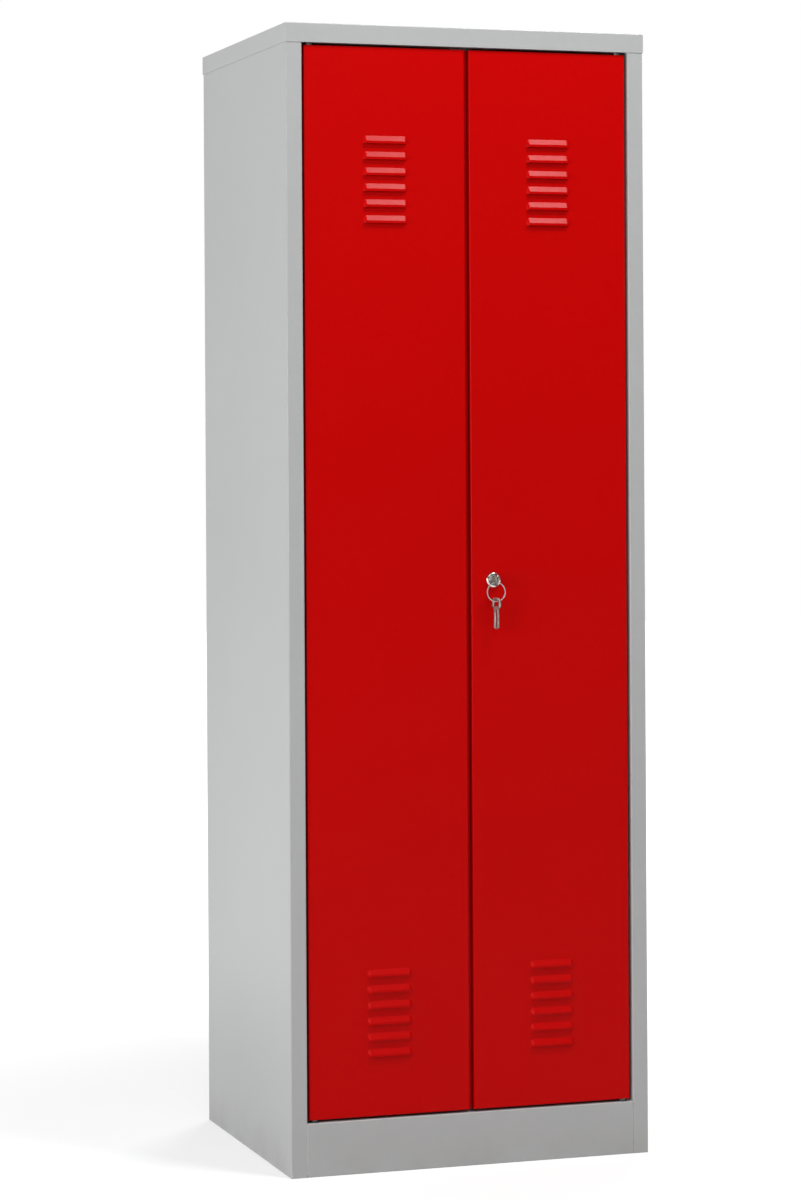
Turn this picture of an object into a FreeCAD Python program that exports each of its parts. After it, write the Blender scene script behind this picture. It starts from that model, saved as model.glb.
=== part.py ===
import FreeCAD, Part
import math
import os
import re
import Sketcher

# Two-door clothing locker of folded sheet steel. All sizes are in millimetres.
# +Z is up, +X is to the right of someone facing the doors, and the doors face -Y.
# The origin is on the floor under the centre of the carcass.

SIZES = {
    # overall box of the carcass
    "width": 600,
    "depth": 500,
    "height": 1800,
    # sheet metal
    "sheet": 0.8,
    "door_sheet": 0.8,
    "bend": 0.8,
    "fit_gap": 0.2,
    # top cap, stiles, plinth and floor
    "cap_drop": 30,
    "header_return": 24,
    "lid_gap": 4,
    "stile_width": 26,
    "stile_return": 20,
    "rear_flange": 15,
    "plinth_height": 84,
    "plinth_ledge": 40,
    "plinth_foot": 15,
    "seam_gap": 0.3,
    "floor_setback": 27,
    "floor_flange": 20,
    # back panel and its wall fixing
    "back_lift": 20,
    "back_flange": 12,
    "fixing_spacing": 400,
    "fixing_diameter": 9,
    "fixing_drop": 90,
    # centre partition and post
    "post_width": 30,
    "post_flange": 12,
    "post_setback": 34,
    "partition_flange": 12,
    # hat shelves and clothes rails
    "shelf_drop": 320,
    "shelf_flange": 25,
    "shelf_setback": 51,
    "rail_diameter": 20,
    "rail_wall": 1.5,
    "rail_drop": 70,
    "socket_diameter": 36,
    "socket_plate": 2,
    "socket_collar": 25,
    "socket_depth": 12,
    "socket_clear": 0.2,
    # doors
    "door_gap_side": 4.5,
    "door_gap_end": 4,
    "centre_gap": 8,
    "door_recess": 3.5,
    "door_depth": 20,
    "door_return": 12,
    "stiffener_width": 30,
    "stiffener_depth": 14,
    "stiffener_flange": 12,
    "stiffener_margin": 40,
    "strip_setback": 10,
    "strip_leg": 8,
    "strip_clear": 1,
    # pressed louvres
    "louvre_length": 72,
    "louvre_height": 12,
    "louvre_corner": 5,
    "louvre_rise": 4.5,
    "louvre_draw": 3,
    "lip_height": 4,
    "lip_corner": 2,
    "louvre_pitch": 25,
    "louvre_count": 6,
    "upper_louvre_drop": 208,
    "lower_louvre_rise": 162,
    # pivot hinges
    "hinge_inset": 10,
    "hinge_setback": 7,
    "pin_diameter": 8,
    "pin_clear": 0.05,
    "collar_diameter": 12,
    "collar_clear": 0.3,
    "bush_diameter": 12,
    "bush_length": 4,
    "bush_flange": 1.2,
    "bush_flange_diameter": 16,
    "plate_length": 32,
    "plate_width": 15,
    "plate_thickness": 2.5,
    # buffers and magnet catches on the centre post
    "buffer_diameter": 8,
    "buffer_tip": 6,
    "buffer_clear": 0.5,
    "buffer_inset": 350,
    "catch_width": 9,
    "catch_height": 46,
    "catch_round": 1.5,
    "catch_inset": 110,
    # cam lock
    "lock_offset": 36,
    "lock_height": 926,
    "rosette_diameter": 24,
    "rosette_height": 5,
    "rosette_bevel": 1.5,
    "lock_body_diameter": 18,
    "lock_body_length": 28,
    "plug_diameter": 12,
    "plug_clear": 0.05,
    "nut_width": 24,
    "nut_thickness": 4,
    "cam_width": 16,
    "cam_hub": 9,
    "cam_corner": 5,
    "cam_thickness": 2.5,
    "cam_gap": 1.2,
    "cam_tip_gap": 1.6,
    "spigot_width": 7,
    "screw_diameter": 4,
    "screw_length": 5,
    "screw_head_diameter": 9,
    "screw_head_height": 2.5,
    # keys and their ring
    "key_thickness": 2,
    "key_blade_width": 8,
    "key_blade_length": 31,
    "key_neck": 1,
    "key_clear": 0.15,
    "bow_depth": 18,
    "bow_height": 19,
    "bow_corner": 6,
    "bow_hole_depth": 9,
    "bow_hole_height": 10,
    "bow_hole_corner": 3,
    "bit_pitch": 4.5,
    "bit_count": 5,
    "bit_depth": 1.6,
    "bit_half_width": 1.6,
    "ring_radius": 15,
    "ring_wire": 1.8,
    "hang_gap": 0.6,
}
# Degrees by which the spare key hangs turned on its ring, so that one flat faces the front more.
SPARE_KEY_TURN = 25
SIDES = {"left": -1, "right": 1}
ENDS = {"top": 1, "bottom": -1}

# Places worked out from the sizes. Each is an expression, so that it follows them.
SIDE_X = "(width / 2 - sheet - fit_gap)"
SIDE_INNER_X = f"({SIDE_X} - sheet)"
OPENING_X = f"({SIDE_X} - stile_width)"
STILE_Y = "(sheet + fit_gap - depth / 2)"
REAR_Y = "(depth / 2 - sheet - fit_gap)"
BACK_Y = f"({REAR_Y} - sheet)"
BACK_FRONT_Y = f"({BACK_Y} - sheet)"
FLOOR_Z = "(plinth_height + sheet)"
FLOOR_FRONT_Y = f"({STILE_Y} + floor_setback)"
CEILING_Z = "(height - sheet)"
HEADER_Z = "(height - cap_drop)"
POST_Y = f"({STILE_Y} + post_setback)"
POST_BACK_Y = f"({POST_Y} + sheet)"
SHELF_Z = "(height - shelf_drop)"
RAIL_Z = f"({SHELF_Z} - rail_drop)"
DOOR_X = f"({OPENING_X} - door_gap_side)"
DOOR_FREE_X = "(centre_gap / 2)"
DOOR_MID_X = f"(({DOOR_X} + {DOOR_FREE_X}) / 2)"
DOOR_Y = f"({STILE_Y} + door_recess)"
DOOR_INNER_Y = f"({DOOR_Y} + door_sheet)"
DOOR_REAR_Y = f"({DOOR_Y} + door_depth)"
DOOR_TOP = f"({HEADER_Z} - door_gap_end)"
DOOR_BOTTOM = "(plinth_height + door_gap_end)"
LOUVRE_RUN = "((louvre_count - 1) * louvre_pitch)"
UPPER_LOUVRE_Z = f"({DOOR_TOP} - upper_louvre_drop - {LOUVRE_RUN} / 2 - louvre_height / 2)"
LOWER_LOUVRE_Z = f"({DOOR_BOTTOM} + lower_louvre_rise - {LOUVRE_RUN} / 2 - louvre_height / 2)"
HINGE_X = f"({DOOR_X} - hinge_inset)"
HINGE_Y = f"({DOOR_Y} + hinge_setback)"
BUFFER_LENGTH = f"({POST_Y} - {DOOR_REAR_Y} - buffer_clear)"
LOCK_X = f"({DOOR_FREE_X} + lock_offset)"
ROSETTE_Y = f"({DOOR_Y} - rosette_height)"
CAM_Y = f"({POST_BACK_Y} + cam_gap)"
PLUG_LENGTH = f"({CAM_Y} - {ROSETTE_Y})"
CAM_LENGTH = f"({LOCK_X} - sheet / 2 - cam_tip_gap)"
BOW_Y = f"({ROSETTE_Y} - key_neck - bow_depth / 2)"
RING_Z = "(lock_height - bow_hole_height / 2 + hang_gap + ring_wire / 2 - ring_radius)"
PUNCH = "(6 * sheet)"

doc = FreeCAD.newDocument("Locker")
sheet = doc.addObject("Spreadsheet::Sheet", "Sizes")
for row, (size_name, size) in enumerate(SIZES.items(), start=1):
    sheet.set(f"A{row}", str(size))
    sheet.setAlias(f"A{row}", size_name)
doc.recompute()


def value(expression):
    """Number that an expression of size names has now."""
    return float(sheet.evalExpression(expression))


def bind(target, prop, expression):
    """Tie a property to an expression, with each size name pointed at its cell."""
    target.setExpression(prop, re.sub(r"[a-z]\w*", lambda word: f"Sizes.{word.group()}", expression))


def place(target, x="0", y="0", z="0"):
    """Tie the place of an object to three expressions."""
    bind(target, "Placement.Base.x", x)
    bind(target, "Placement.Base.y", y)
    bind(target, "Placement.Base.z", z)


def new_body(label):
    """Empty body that carries a sub-part's name."""
    body = doc.addObject("PartDesign::Body", label)
    body.Label = label
    return body


def new_sketch(body, role, offset="0"):
    """Sketch on one of the body's own planes, moved along the plane's normal."""
    sketch = body.newObject("Sketcher::SketchObject", f"{body.Label}_sketch")
    plane = next(feature for feature in body.Origin.OriginFeatures if feature.Role == role)
    sketch.AttachmentSupport = [(plane, "")]
    sketch.MapMode = "FlatFace"
    bind(sketch, "AttachmentOffset.Base.z", offset)
    return sketch


def constrain(sketch, wanted):
    """Add constraints, each with the expression that drives it or None."""
    numbers = sketch.addConstraint([constraint for constraint, _ in wanted])
    for number, (_, expression) in zip(numbers, wanted):
        if expression:
            bind(sketch, f"Constraints[{number}]", expression)


def pin_point(line, end, point):
    """Constraints that hold one end of a line at a point given as two expressions."""
    return [
        (Sketcher.Constraint(f"Distance{axis}", -1, 1, line, end, value(expression)), expression)
        for axis, expression in zip("XY", point)
    ]


def heading(start, end):
    """Unit step from one point to another."""
    run, rise = end[0] - start[0], end[1] - start[1]
    length = math.hypot(run, rise)
    return run / length, rise / length


def add_outline(sketch, corners):
    """Closed outline through corners (x, y, radius); a radius of None leaves the corner sharp.

    Only corners between lines along the sketch's axes are rounded.
    """
    points = [(value(x), value(y)) for x, y, _ in corners]
    enters, leaves = [], []
    for number, (x, y, radius) in enumerate(corners):
        here, after = points[number], points[(number + 1) % len(points)]
        for ends, neighbour in ((enters, points[number - 1]), (leaves, after)):
            if radius is None:
                ends.append((x, y))
            else:
                step = [round(part) for part in heading(here, neighbour)]
                ends.append(tuple(f"{p} + {s} * {radius}" for p, s in zip((x, y), step)))
    first = sketch.GeometryCount
    wanted = []
    for number in range(len(corners)):
        ends = leaves[number], enters[(number + 1) % len(corners)]
        vectors = [FreeCAD.Vector(value(x), value(y), 0) for x, y in ends]
        sketch.addGeometry(Part.LineSegment(*vectors), False)
        wanted += pin_point(first + number, 1, ends[0]) + pin_point(first + number, 2, ends[1])
    for number, (_, _, radius) in enumerate(corners):
        before = first + (number - 1) % len(corners)
        if radius is not None:
            wanted += round_corner(sketch, before, first + number, radius)
    constrain(sketch, wanted)


def round_corner(sketch, before, after, radius):
    """Arc between the end of one line and the start of the next, with the constraints that hold it."""
    enter, leave = sketch.Geometry[before].EndPoint, sketch.Geometry[after].StartPoint
    into = sketch.Geometry[before].EndPoint - sketch.Geometry[before].StartPoint
    out = sketch.Geometry[after].EndPoint - sketch.Geometry[after].StartPoint
    left_turn = into.x * out.y - into.y * out.x > 0
    size = value(radius)
    normal = FreeCAD.Vector(-into.y, into.x, 0).normalize() * (size if left_turn else -size)
    centre = enter + normal
    start, end = (enter, leave) if left_turn else (leave, enter)
    angles = [math.atan2(point.y - centre.y, point.x - centre.x) for point in (start, end)]
    circle = Part.Circle(centre, FreeCAD.Vector(0, 0, 1), size)
    arc = sketch.addGeometry(Part.ArcOfCircle(circle, *angles), False)
    enter_end, leave_end = (1, 2) if left_turn else (2, 1)
    return [
        (Sketcher.Constraint("Coincident", before, 2, arc, enter_end), None),
        (Sketcher.Constraint("Coincident", after, 1, arc, leave_end), None),
        (Sketcher.Constraint("Radius", arc, size), radius),
    ]


def rectangle(x0, x1, y0, y1, radius=None):
    """Corners of a rectangle, all rounded alike."""
    return [(x0, y0, radius), (x1, y0, radius), (x1, y1, radius), (x0, y1, radius)]


def strip(path, wall, inside):
    """Corners of a folded strip of sheet along a path; the wall lies left (1) or right (-1) of it."""
    points = [(value(x), value(y)) for x, y in path]
    steps = [heading(start, end) for start, end in zip(points, points[1:])]
    normals = [(round(-inside * rise), round(inside * run)) for run, rise in steps]
    outer, inner = [], []
    for number, (x, y) in enumerate(path):
        touching = normals[max(number - 1, 0):number + 1]
        shift = [sum(normal[axis] for normal in touching) for axis in (0, 1)]
        radii = None, None
        if len(touching) == 2:
            before, after = steps[number - 1], steps[number]
            turn = before[0] * after[1] - before[1] * after[0]
            radii = (f"(bend + {wall})", "bend") if turn * inside > 0 else ("bend", f"(bend + {wall})")
        outer.append((x, y, radii[0]))
        inner.append((f"{x} + {shift[0]} * {wall}", f"{y} + {shift[1]} * {wall}", radii[1]))
    return outer + inner[::-1]


def add_circle(sketch, x, y, diameter):
    """Full circle in a sketch."""
    centre = FreeCAD.Vector(value(x), value(y), 0)
    circle = Part.Circle(centre, FreeCAD.Vector(0, 0, 1), value(diameter) / 2)
    number = sketch.addGeometry(circle, False)
    wanted = pin_point(number, 3, (x, y))
    wanted.append((Sketcher.Constraint("Diameter", number, value(diameter)), diameter))
    constrain(sketch, wanted)


def pad(body, sketch, length, both_ways=False):
    """Extrude a sketch along its normal, or half of the length each way."""
    feature = body.newObject("PartDesign::Pad", f"{body.Label}_pad")
    feature.Profile = sketch
    feature.Midplane = both_ways
    bind(feature, "Length", length)
    doc.recompute()
    return feature


def cut(body, sketch, length, both_ways=True):
    """Cut a sketch out of the body: half of the length each way, or all of it against the normal."""
    before = body.Shape.Volume
    feature = body.newObject("PartDesign::Pocket", f"{body.Label}_cut")
    feature.Profile = sketch
    feature.Midplane = both_ways
    bind(feature, "Length", length)
    doc.recompute()
    if feature.Shape.Volume >= before:
        raise RuntimeError(f"{feature.Label} removed nothing")
    return feature


def turned(label, corners, role="XY_Plane", axis="V_Axis"):
    """Body turned from half of its section."""
    body = new_body(label)
    sketch = new_sketch(body, role)
    add_outline(sketch, corners)
    feature = body.newObject("PartDesign::Revolution", f"{label}_turned")
    feature.Profile = sketch
    feature.ReferenceAxis = (sketch, [axis])
    feature.Angle = 360
    doc.recompute()
    return body


def names_at(kind, pieces, toward, reach, within):
    """Names of the edges or faces whose middle lies at a reach along a direction."""
    offsets = [abs(piece.CenterOfMass.dot(toward) - reach) for piece in pieces]
    return [f"{kind}{number}" for number, offset in enumerate(offsets, 1) if offset < within]


def pan(body, x_ends, y_ends, z_ends, open_side, wall):
    """Shallow folded pan: a block with its folds rounded, hollowed from its open side."""
    sketch = new_sketch(body, "XY_Plane", z_ends[0])
    add_outline(sketch, rectangle(*x_ends, *y_ends))
    block = pad(body, sketch, f"{z_ends[1]} - {z_ends[0]}")
    toward = FreeCAD.Vector(*open_side)
    reaches = [vertex.Point.dot(toward) for vertex in block.Shape.Vertexes]
    folds = body.newObject("PartDesign::Fillet", f"{body.Label}_folds")
    folds.Base = (block, names_at("Edge", block.Shape.Edges, toward, min(reaches), value(wall)))
    bind(folds, "Radius", f"bend + {wall}")
    doc.recompute()
    shell = body.newObject("PartDesign::Thickness", f"{body.Label}_shell")
    shell.Base = (folds, names_at("Face", folds.Shape.Faces, toward, max(reaches), value(wall)))
    shell.Reversed = True
    bind(shell, "Value", wall)
    doc.recompute()
    return shell


def group(label, members):
    """Like pieces that share one node, each still a separate solid."""
    compound = doc.addObject("Part::Compound", label)
    compound.Label = label
    compound.Links = members
    return compound


def on_side(side, *expressions):
    """Distances from the middle, given as expressions, taken to one side of it."""
    return [f"{side} * {expression}" for expression in expressions]


def about_middle(half):
    """Both ends of a span about the middle."""
    return f"-1 * {half}", half


def side_panel(name, side):
    """Side wall with the front stile, its return and the rear flange folded from one sheet."""
    body = new_body(f"{name}_side_panel")
    opening, outer, rear = on_side(side, OPENING_X, SIDE_X, f"({SIDE_X} - rear_flange)")
    path = [
        (opening, f"{STILE_Y} + stile_return"),
        (opening, STILE_Y),
        (outer, STILE_Y),
        (outer, REAR_Y),
        (rear, REAR_Y),
    ]
    sketch = new_sketch(body, "XY_Plane")
    add_outline(sketch, strip(path, "sheet", side))
    pad(body, sketch, f"{CEILING_Z} - lid_gap")
    return body


def top_cap():
    """Lid with turned-down edges; its front edge is the header that holds the upper hinge bushes."""
    body = new_body("top_cap")
    x_ends = about_middle("width / 2")
    y_ends = about_middle("depth / 2")
    pan(body, x_ends, y_ends, (HEADER_Z, "height"), (0, 0, -1), "sheet")
    sketch = new_sketch(body, "XY_Plane", HEADER_Z)
    return_x = about_middle(f"({OPENING_X} - fit_gap)")
    add_outline(sketch, rectangle(*return_x, y_ends[0], f"{y_ends[0]} + header_return"))
    pad(body, sketch, "sheet")
    punch_hinges(body, HEADER_Z)
    return body


def punch_hinges(body, level):
    """Holes for the hinge bushes in a horizontal sheet."""
    sketch = new_sketch(body, "XY_Plane", level)
    for side in SIDES.values():
        add_circle(sketch, f"{side} * {HINGE_X}", HINGE_Y, "bush_diameter")
    cut(body, sketch, PUNCH)


def plinth():
    """Front kick panel between the stiles, with a ledge for the floor and the lower hinge bushes."""
    body = new_body("plinth")
    path = [
        (f"{STILE_Y} + plinth_ledge", "plinth_height"),
        (STILE_Y, "plinth_height"),
        (STILE_Y, "0"),
        (f"{STILE_Y} + plinth_foot", "0"),
    ]
    sketch = new_sketch(body, "YZ_Plane")
    add_outline(sketch, strip(path, "sheet", 1))
    pad(body, sketch, f"2 * ({OPENING_X} - seam_gap)", both_ways=True)
    punch_hinges(body, "plinth_height")
    return body


def bottom_panel():
    """Locker floor, with its sides turned down against the side panels."""
    body = new_body("bottom_panel")
    left, right = about_middle(SIDE_INNER_X)
    path = [
        (left, f"{FLOOR_Z} - floor_flange"),
        (left, FLOOR_Z),
        (right, FLOOR_Z),
        (right, f"{FLOOR_Z} - floor_flange"),
    ]
    sketch = new_sketch(body, "XZ_Plane", f"-1 * {BACK_FRONT_Y}")
    add_outline(sketch, strip(path, "sheet", -1))
    pad(body, sketch, f"{BACK_FRONT_Y} - {FLOOR_FRONT_Y}")
    return body


def back_panel():
    """Rear wall with its lower edge turned forwards, and two holes for fixing it to a wall."""
    body = new_body("back_panel")
    path = [
        (f"{BACK_Y} - back_flange", "back_lift"),
        (BACK_Y, "back_lift"),
        (BACK_Y, f"{CEILING_Z} - lid_gap"),
    ]
    sketch = new_sketch(body, "YZ_Plane")
    add_outline(sketch, strip(path, "sheet", 1))
    pad(body, sketch, f"2 * ({SIDE_INNER_X} - bend)", both_ways=True)
    holes = new_sketch(body, "XZ_Plane", f"-1 * {BACK_Y}")
    for side in SIDES.values():
        add_circle(holes, f"{side} * fixing_spacing / 2", "height - fixing_drop", "fixing_diameter")
    cut(body, holes, PUNCH)
    return body


def centre_partition():
    """Upright sheet between the two compartments, flanged to the post and the back panel."""
    body = new_body("centre_partition")
    path = [
        ("-1 * partition_flange", POST_BACK_Y),
        ("sheet / 2", POST_BACK_Y),
        ("sheet / 2", BACK_FRONT_Y),
        ("-1 * partition_flange", BACK_FRONT_Y),
    ]
    sketch = new_sketch(body, "XY_Plane", FLOOR_Z)
    add_outline(sketch, strip(path, "sheet", 1))
    pad(body, sketch, f"{CEILING_Z} - {FLOOR_Z}")
    return body


def centre_post():
    """Angle on the front of the partition; the lock's cam catches behind its open side."""
    body = new_body("centre_post")
    left, right = about_middle("post_width / 2")
    path = [(right, POST_Y), (left, POST_Y), (left, f"{POST_Y} + post_flange")]
    sketch = new_sketch(body, "XY_Plane", FLOOR_Z)
    add_outline(sketch, strip(path, "sheet", -1))
    pad(body, sketch, f"{CEILING_Z} - {FLOOR_Z}")
    return body


def hat_shelf(name, side):
    """Shelf with all four edges turned down."""
    body = new_body(f"{name}_hat_shelf")
    x_ends = on_side(side, SIDE_INNER_X, "sheet / 2")
    y_ends = f"{STILE_Y} + shelf_setback", f"{BACK_FRONT_Y} - sheet - bend"
    pan(body, x_ends, y_ends, (f"({SHELF_Z} - shelf_flange)", SHELF_Z), (0, 0, -1), "sheet")
    return body


def clothes_rail(name, side):
    """Tube across the compartment below the hat shelf."""
    body = new_body(f"{name}_clothes_rail")
    inner, outer = "(sheet / 2 + socket_plate)", f"({SIDE_INNER_X} - socket_plate)"
    sketch = new_sketch(body, "YZ_Plane", f"{side} * ({inner} + {outer}) / 2")
    add_circle(sketch, "0", RAIL_Z, "rail_diameter")
    add_circle(sketch, "0", RAIL_Z, "rail_diameter - 2 * rail_wall")
    pad(body, sketch, f"{outer} - {inner}", both_ways=True)
    return body


def rail_sockets():
    """Flanged cups that carry the ends of both clothes rails."""
    members = []
    bore = "(rail_diameter / 2 + socket_clear)"
    for name, side in SIDES.items():
        for wall, wall_x, facing in (("outer", SIDE_INNER_X, -side), ("inner", "sheet / 2", side)):
            plate, depth = f"{facing} * socket_plate", f"{facing} * socket_depth"
            corners = [
                ("0", "0", None),
                (plate, "0", None),
                (plate, bore, None),
                (depth, bore, None),
                (depth, "socket_collar / 2", None),
                (plate, "socket_collar / 2", None),
                (plate, "socket_diameter / 2", None),
                ("0", "socket_diameter / 2", None),
            ]
            socket = turned(f"{name}_{wall}_rail_socket", corners, axis="H_Axis")
            place(socket, f"{side} * {wall_x}", "0", RAIL_Z)
            members.append(socket)
    return group("rail_sockets", members)


def hinge_bushes():
    """Flanged nylon bushes in the header and the plinth that take the door pins."""
    members = []
    bore = "(pin_diameter / 2 + pin_clear)"
    for end, up in ENDS.items():
        flange, length = f"{-up} * bush_flange", f"{up} * bush_length"
        corners = [
            (bore, flange, None),
            ("bush_flange_diameter / 2", flange, None),
            ("bush_flange_diameter / 2", "0", None),
            ("bush_diameter / 2", "0", None),
            ("bush_diameter / 2", length, None),
            (bore, length, None),
        ]
        for name, side in SIDES.items():
            bush = turned(f"{name}_{end}_hinge_bush", corners, role="XZ_Plane")
            place(bush, f"{side} * {HINGE_X}", HINGE_Y, HEADER_Z if up > 0 else "plinth_height")
            members.append(bush)
    return group("hinge_bushes", members)


def door_buffers():
    """Rubber buffers on the centre post that the doors close against."""
    members = []
    corners = [
        ("0", "0", None),
        ("buffer_diameter / 2", "0", None),
        ("buffer_tip / 2", f"-1 * {BUFFER_LENGTH}", None),
        ("0", f"-1 * {BUFFER_LENGTH}", None),
    ]
    for end in ENDS:
        level = "height - buffer_inset" if end == "top" else f"{FLOOR_Z} + buffer_inset"
        for name, side in SIDES.items():
            buffer = turned(f"{name}_{end}_door_buffer", corners)
            place(buffer, f"{side} * (post_width / 2 - buffer_diameter / 2)", POST_Y, level)
            members.append(buffer)
    return group("door_buffers", members)


def magnet_catches():
    """Magnet blocks on the centre post that hold the left door shut."""
    members = []
    for end in ENDS:
        level = "height - catch_inset" if end == "top" else f"{FLOOR_Z} + catch_inset"
        body = new_body(f"{end}_magnet_catch")
        x_ends = "-1 * post_width / 2", "catch_width - post_width / 2"
        sketch = new_sketch(body, "XZ_Plane")
        add_outline(sketch, rectangle(*x_ends, *about_middle("catch_height / 2"), "catch_round"))
        pad(body, sketch, BUFFER_LENGTH)
        place(body, "0", POST_Y, level)
        members.append(body)
    return group("magnet_catches", members)


def louvre_section(x, z, half_length, height, corner):
    """Corners of a hood's section: straight below, rounded above."""
    left, right, top = f"{x} - {half_length}", f"{x} + {half_length}", f"{z} + {height}"
    return [(left, z, None), (right, z, None), (right, top, corner), (left, top, corner)]


def louvre_loft(body, kind, x, z, levels, wall):
    """Loft from the door's face to the lip of a hood, drawn in by a wall on each level."""
    half_length = f"(louvre_length / 2 - {wall})"
    half_lip = f"(louvre_length / 2 - louvre_draw - {wall})"
    corners = [
        louvre_section(x, z, half_length, f"(louvre_height - {wall})", f"(louvre_corner - {wall})"),
        louvre_section(x, z, half_lip, f"(lip_height - {wall})", f"(lip_corner - {wall})"),
    ]
    sketches = []
    for level, section in zip(levels, corners):
        sketch = new_sketch(body, "XZ_Plane", f"-1 * ({level})")
        add_outline(sketch, section)
        sketches.append(sketch)
    doc.recompute()
    loft = body.newObject(kind, f"{body.Label}_louvre")
    loft.Profile = sketches[0]
    loft.Sections = sketches[1:]
    loft.Ruled = True
    doc.recompute()
    return loft


def press_louvres(body, x, first_z):
    """Row of hoods pressed out of the door's face above slots, each open below."""
    lip_y = f"{DOOR_Y} - louvre_rise"
    before = body.Shape.Volume
    hood = louvre_loft(body, "PartDesign::AdditiveLoft", x, first_z, (DOOR_Y, lip_y), "0")
    with_hood = hood.Shape.Volume
    slot_levels = DOOR_INNER_Y, f"{lip_y} + door_sheet"
    slot = louvre_loft(body, "PartDesign::SubtractiveLoft", x, first_z, slot_levels, "door_sheet")
    if not before < with_hood or not slot.Shape.Volume < with_hood:
        raise RuntimeError(f"{body.Label} has no louvre")
    row = body.newObject("PartDesign::LinearPattern", f"{body.Label}_louvres")
    row.Originals = [hood, slot]
    row.Direction = (hood.Profile[0], ["V_Axis"])
    bind(row, "Length", LOUVRE_RUN)
    bind(row, "Occurrences", "louvre_count")
    body.Tip = row
    doc.recompute()


def door_panel(name, side):
    """Door: a folded pan with a return round its rear edge and two rows of louvres."""
    body = new_body(f"{name}_door_panel")
    x_ends = on_side(side, DOOR_X, DOOR_FREE_X)
    z_ends = DOOR_BOTTOM, DOOR_TOP
    pan(body, x_ends, (DOOR_Y, DOOR_REAR_Y), z_ends, (0, 1, 0), "door_sheet")
    rim = new_sketch(body, "XZ_Plane", f"-1 * {DOOR_REAR_Y}")
    add_outline(rim, rectangle(*x_ends, *z_ends))
    inner_x = on_side(side, f"({DOOR_X} - door_return)", f"({DOOR_FREE_X} + door_return)")
    inner_z = f"{DOOR_BOTTOM} + door_return", f"{DOOR_TOP} - door_return"
    add_outline(rim, rectangle(*inner_x, *inner_z))
    pad(body, rim, "door_sheet")
    pin_holes = new_sketch(body, "XY_Plane", DOOR_BOTTOM)
    add_circle(pin_holes, f"{side} * {HINGE_X}", HINGE_Y, "pin_diameter + 2 * fit_gap")
    cut(body, pin_holes, f"2 * ({DOOR_TOP} - {DOOR_BOTTOM} + door_sheet)")
    if name == "right":
        lock_hole = new_sketch(body, "XZ_Plane", f"-1 * {DOOR_Y}")
        add_circle(lock_hole, LOCK_X, "lock_height", "lock_body_diameter + 2 * fit_gap")
        cut(body, lock_hole, "4 * door_sheet")
    for first_z in (UPPER_LOUVRE_Z, LOWER_LOUVRE_Z):
        press_louvres(body, f"{side} * {DOOR_MID_X}", first_z)
    return body


def door_stiffener(name, side):
    """Hat section welded up the middle of the door, between its rows of louvres."""
    body = new_body(f"{name}_door_stiffener")
    middle, rear = f"{side} * {DOOR_MID_X}", f"{DOOR_INNER_Y} + stiffener_depth"
    web, foot = "stiffener_width / 2", "(stiffener_width / 2 + stiffener_flange)"
    path = [
        (f"{middle} - {foot}", DOOR_INNER_Y),
        (f"{middle} - {web}", DOOR_INNER_Y),
        (f"{middle} - {web}", rear),
        (f"{middle} + {web}", rear),
        (f"{middle} + {web}", DOOR_INNER_Y),
        (f"{middle} + {foot}", DOOR_INNER_Y),
    ]
    low = f"({LOWER_LOUVRE_Z} + {LOUVRE_RUN} + louvre_height + stiffener_margin)"
    sketch = new_sketch(body, "XY_Plane", low)
    add_outline(sketch, strip(path, "door_sheet", 1))
    pad(body, sketch, f"{UPPER_LOUVRE_Z} - stiffener_margin - {low}")
    return body


def closing_strip():
    """Angle on the left door's free edge that fills the gap between the doors."""
    body = new_body("closing_strip")
    lip_y, edge = f"{DOOR_Y} + strip_setback", f"-1 * {DOOR_FREE_X}"
    path = [(f"{DOOR_FREE_X} - strip_clear", lip_y), (edge, lip_y), (edge, f"{lip_y} + strip_leg")]
    sketch = new_sketch(body, "XY_Plane", DOOR_BOTTOM)
    add_outline(sketch, strip(path, "door_sheet", -1))
    pad(body, sketch, f"{DOOR_TOP} - {DOOR_BOTTOM}")
    return body


def hinge_plates(name, side):
    """Thick plates welded inside the door's corners that hold its pins."""
    members = []
    margin = "(door_sheet + bend + fit_gap)"
    x_ends = on_side(side, f"({DOOR_X} - {margin})", f"({DOOR_X} - {margin} - plate_length)")
    y_ends = f"{DOOR_Y} + {margin}", f"{DOOR_Y} + {margin} + plate_width"
    for end, up in ENDS.items():
        body = new_body(f"{name}_{end}_hinge_plate")
        low = f"({DOOR_TOP} - door_sheet - plate_thickness)" if up > 0 else f"({DOOR_BOTTOM} + door_sheet)"
        sketch = new_sketch(body, "XY_Plane", low)
        add_outline(sketch, rectangle(*x_ends, *y_ends))
        add_circle(sketch, f"{side} * {HINGE_X}", HINGE_Y, "pin_diameter")
        pad(body, sketch, "plate_thickness")
        members.append(body)
    return group(f"{name}_hinge_plates", members)


def hinge_pins(name, side):
    """Collared pins on which the door turns."""
    members = []
    for end, up in ENDS.items():
        root = f"{-up} * (door_sheet + plate_thickness)"
        collar = f"{up} * (door_gap_end - bush_flange - collar_clear)"
        tip = f"{up} * (door_gap_end + bush_length)"
        corners = [
            ("0", root, None),
            ("pin_diameter / 2", root, None),
            ("pin_diameter / 2", "0", None),
            ("collar_diameter / 2", "0", None),
            ("collar_diameter / 2", collar, None),
            ("pin_diameter / 2", collar, None),
            ("pin_diameter / 2", tip, None),
            ("0", tip, None),
        ]
        pin = turned(f"{name}_{end}_hinge_pin", corners, role="XZ_Plane")
        place(pin, f"{side} * {HINGE_X}", HINGE_Y, DOOR_TOP if up > 0 else DOOR_BOTTOM)
        members.append(pin)
    return group(f"{name}_hinge_pins", members)


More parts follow.
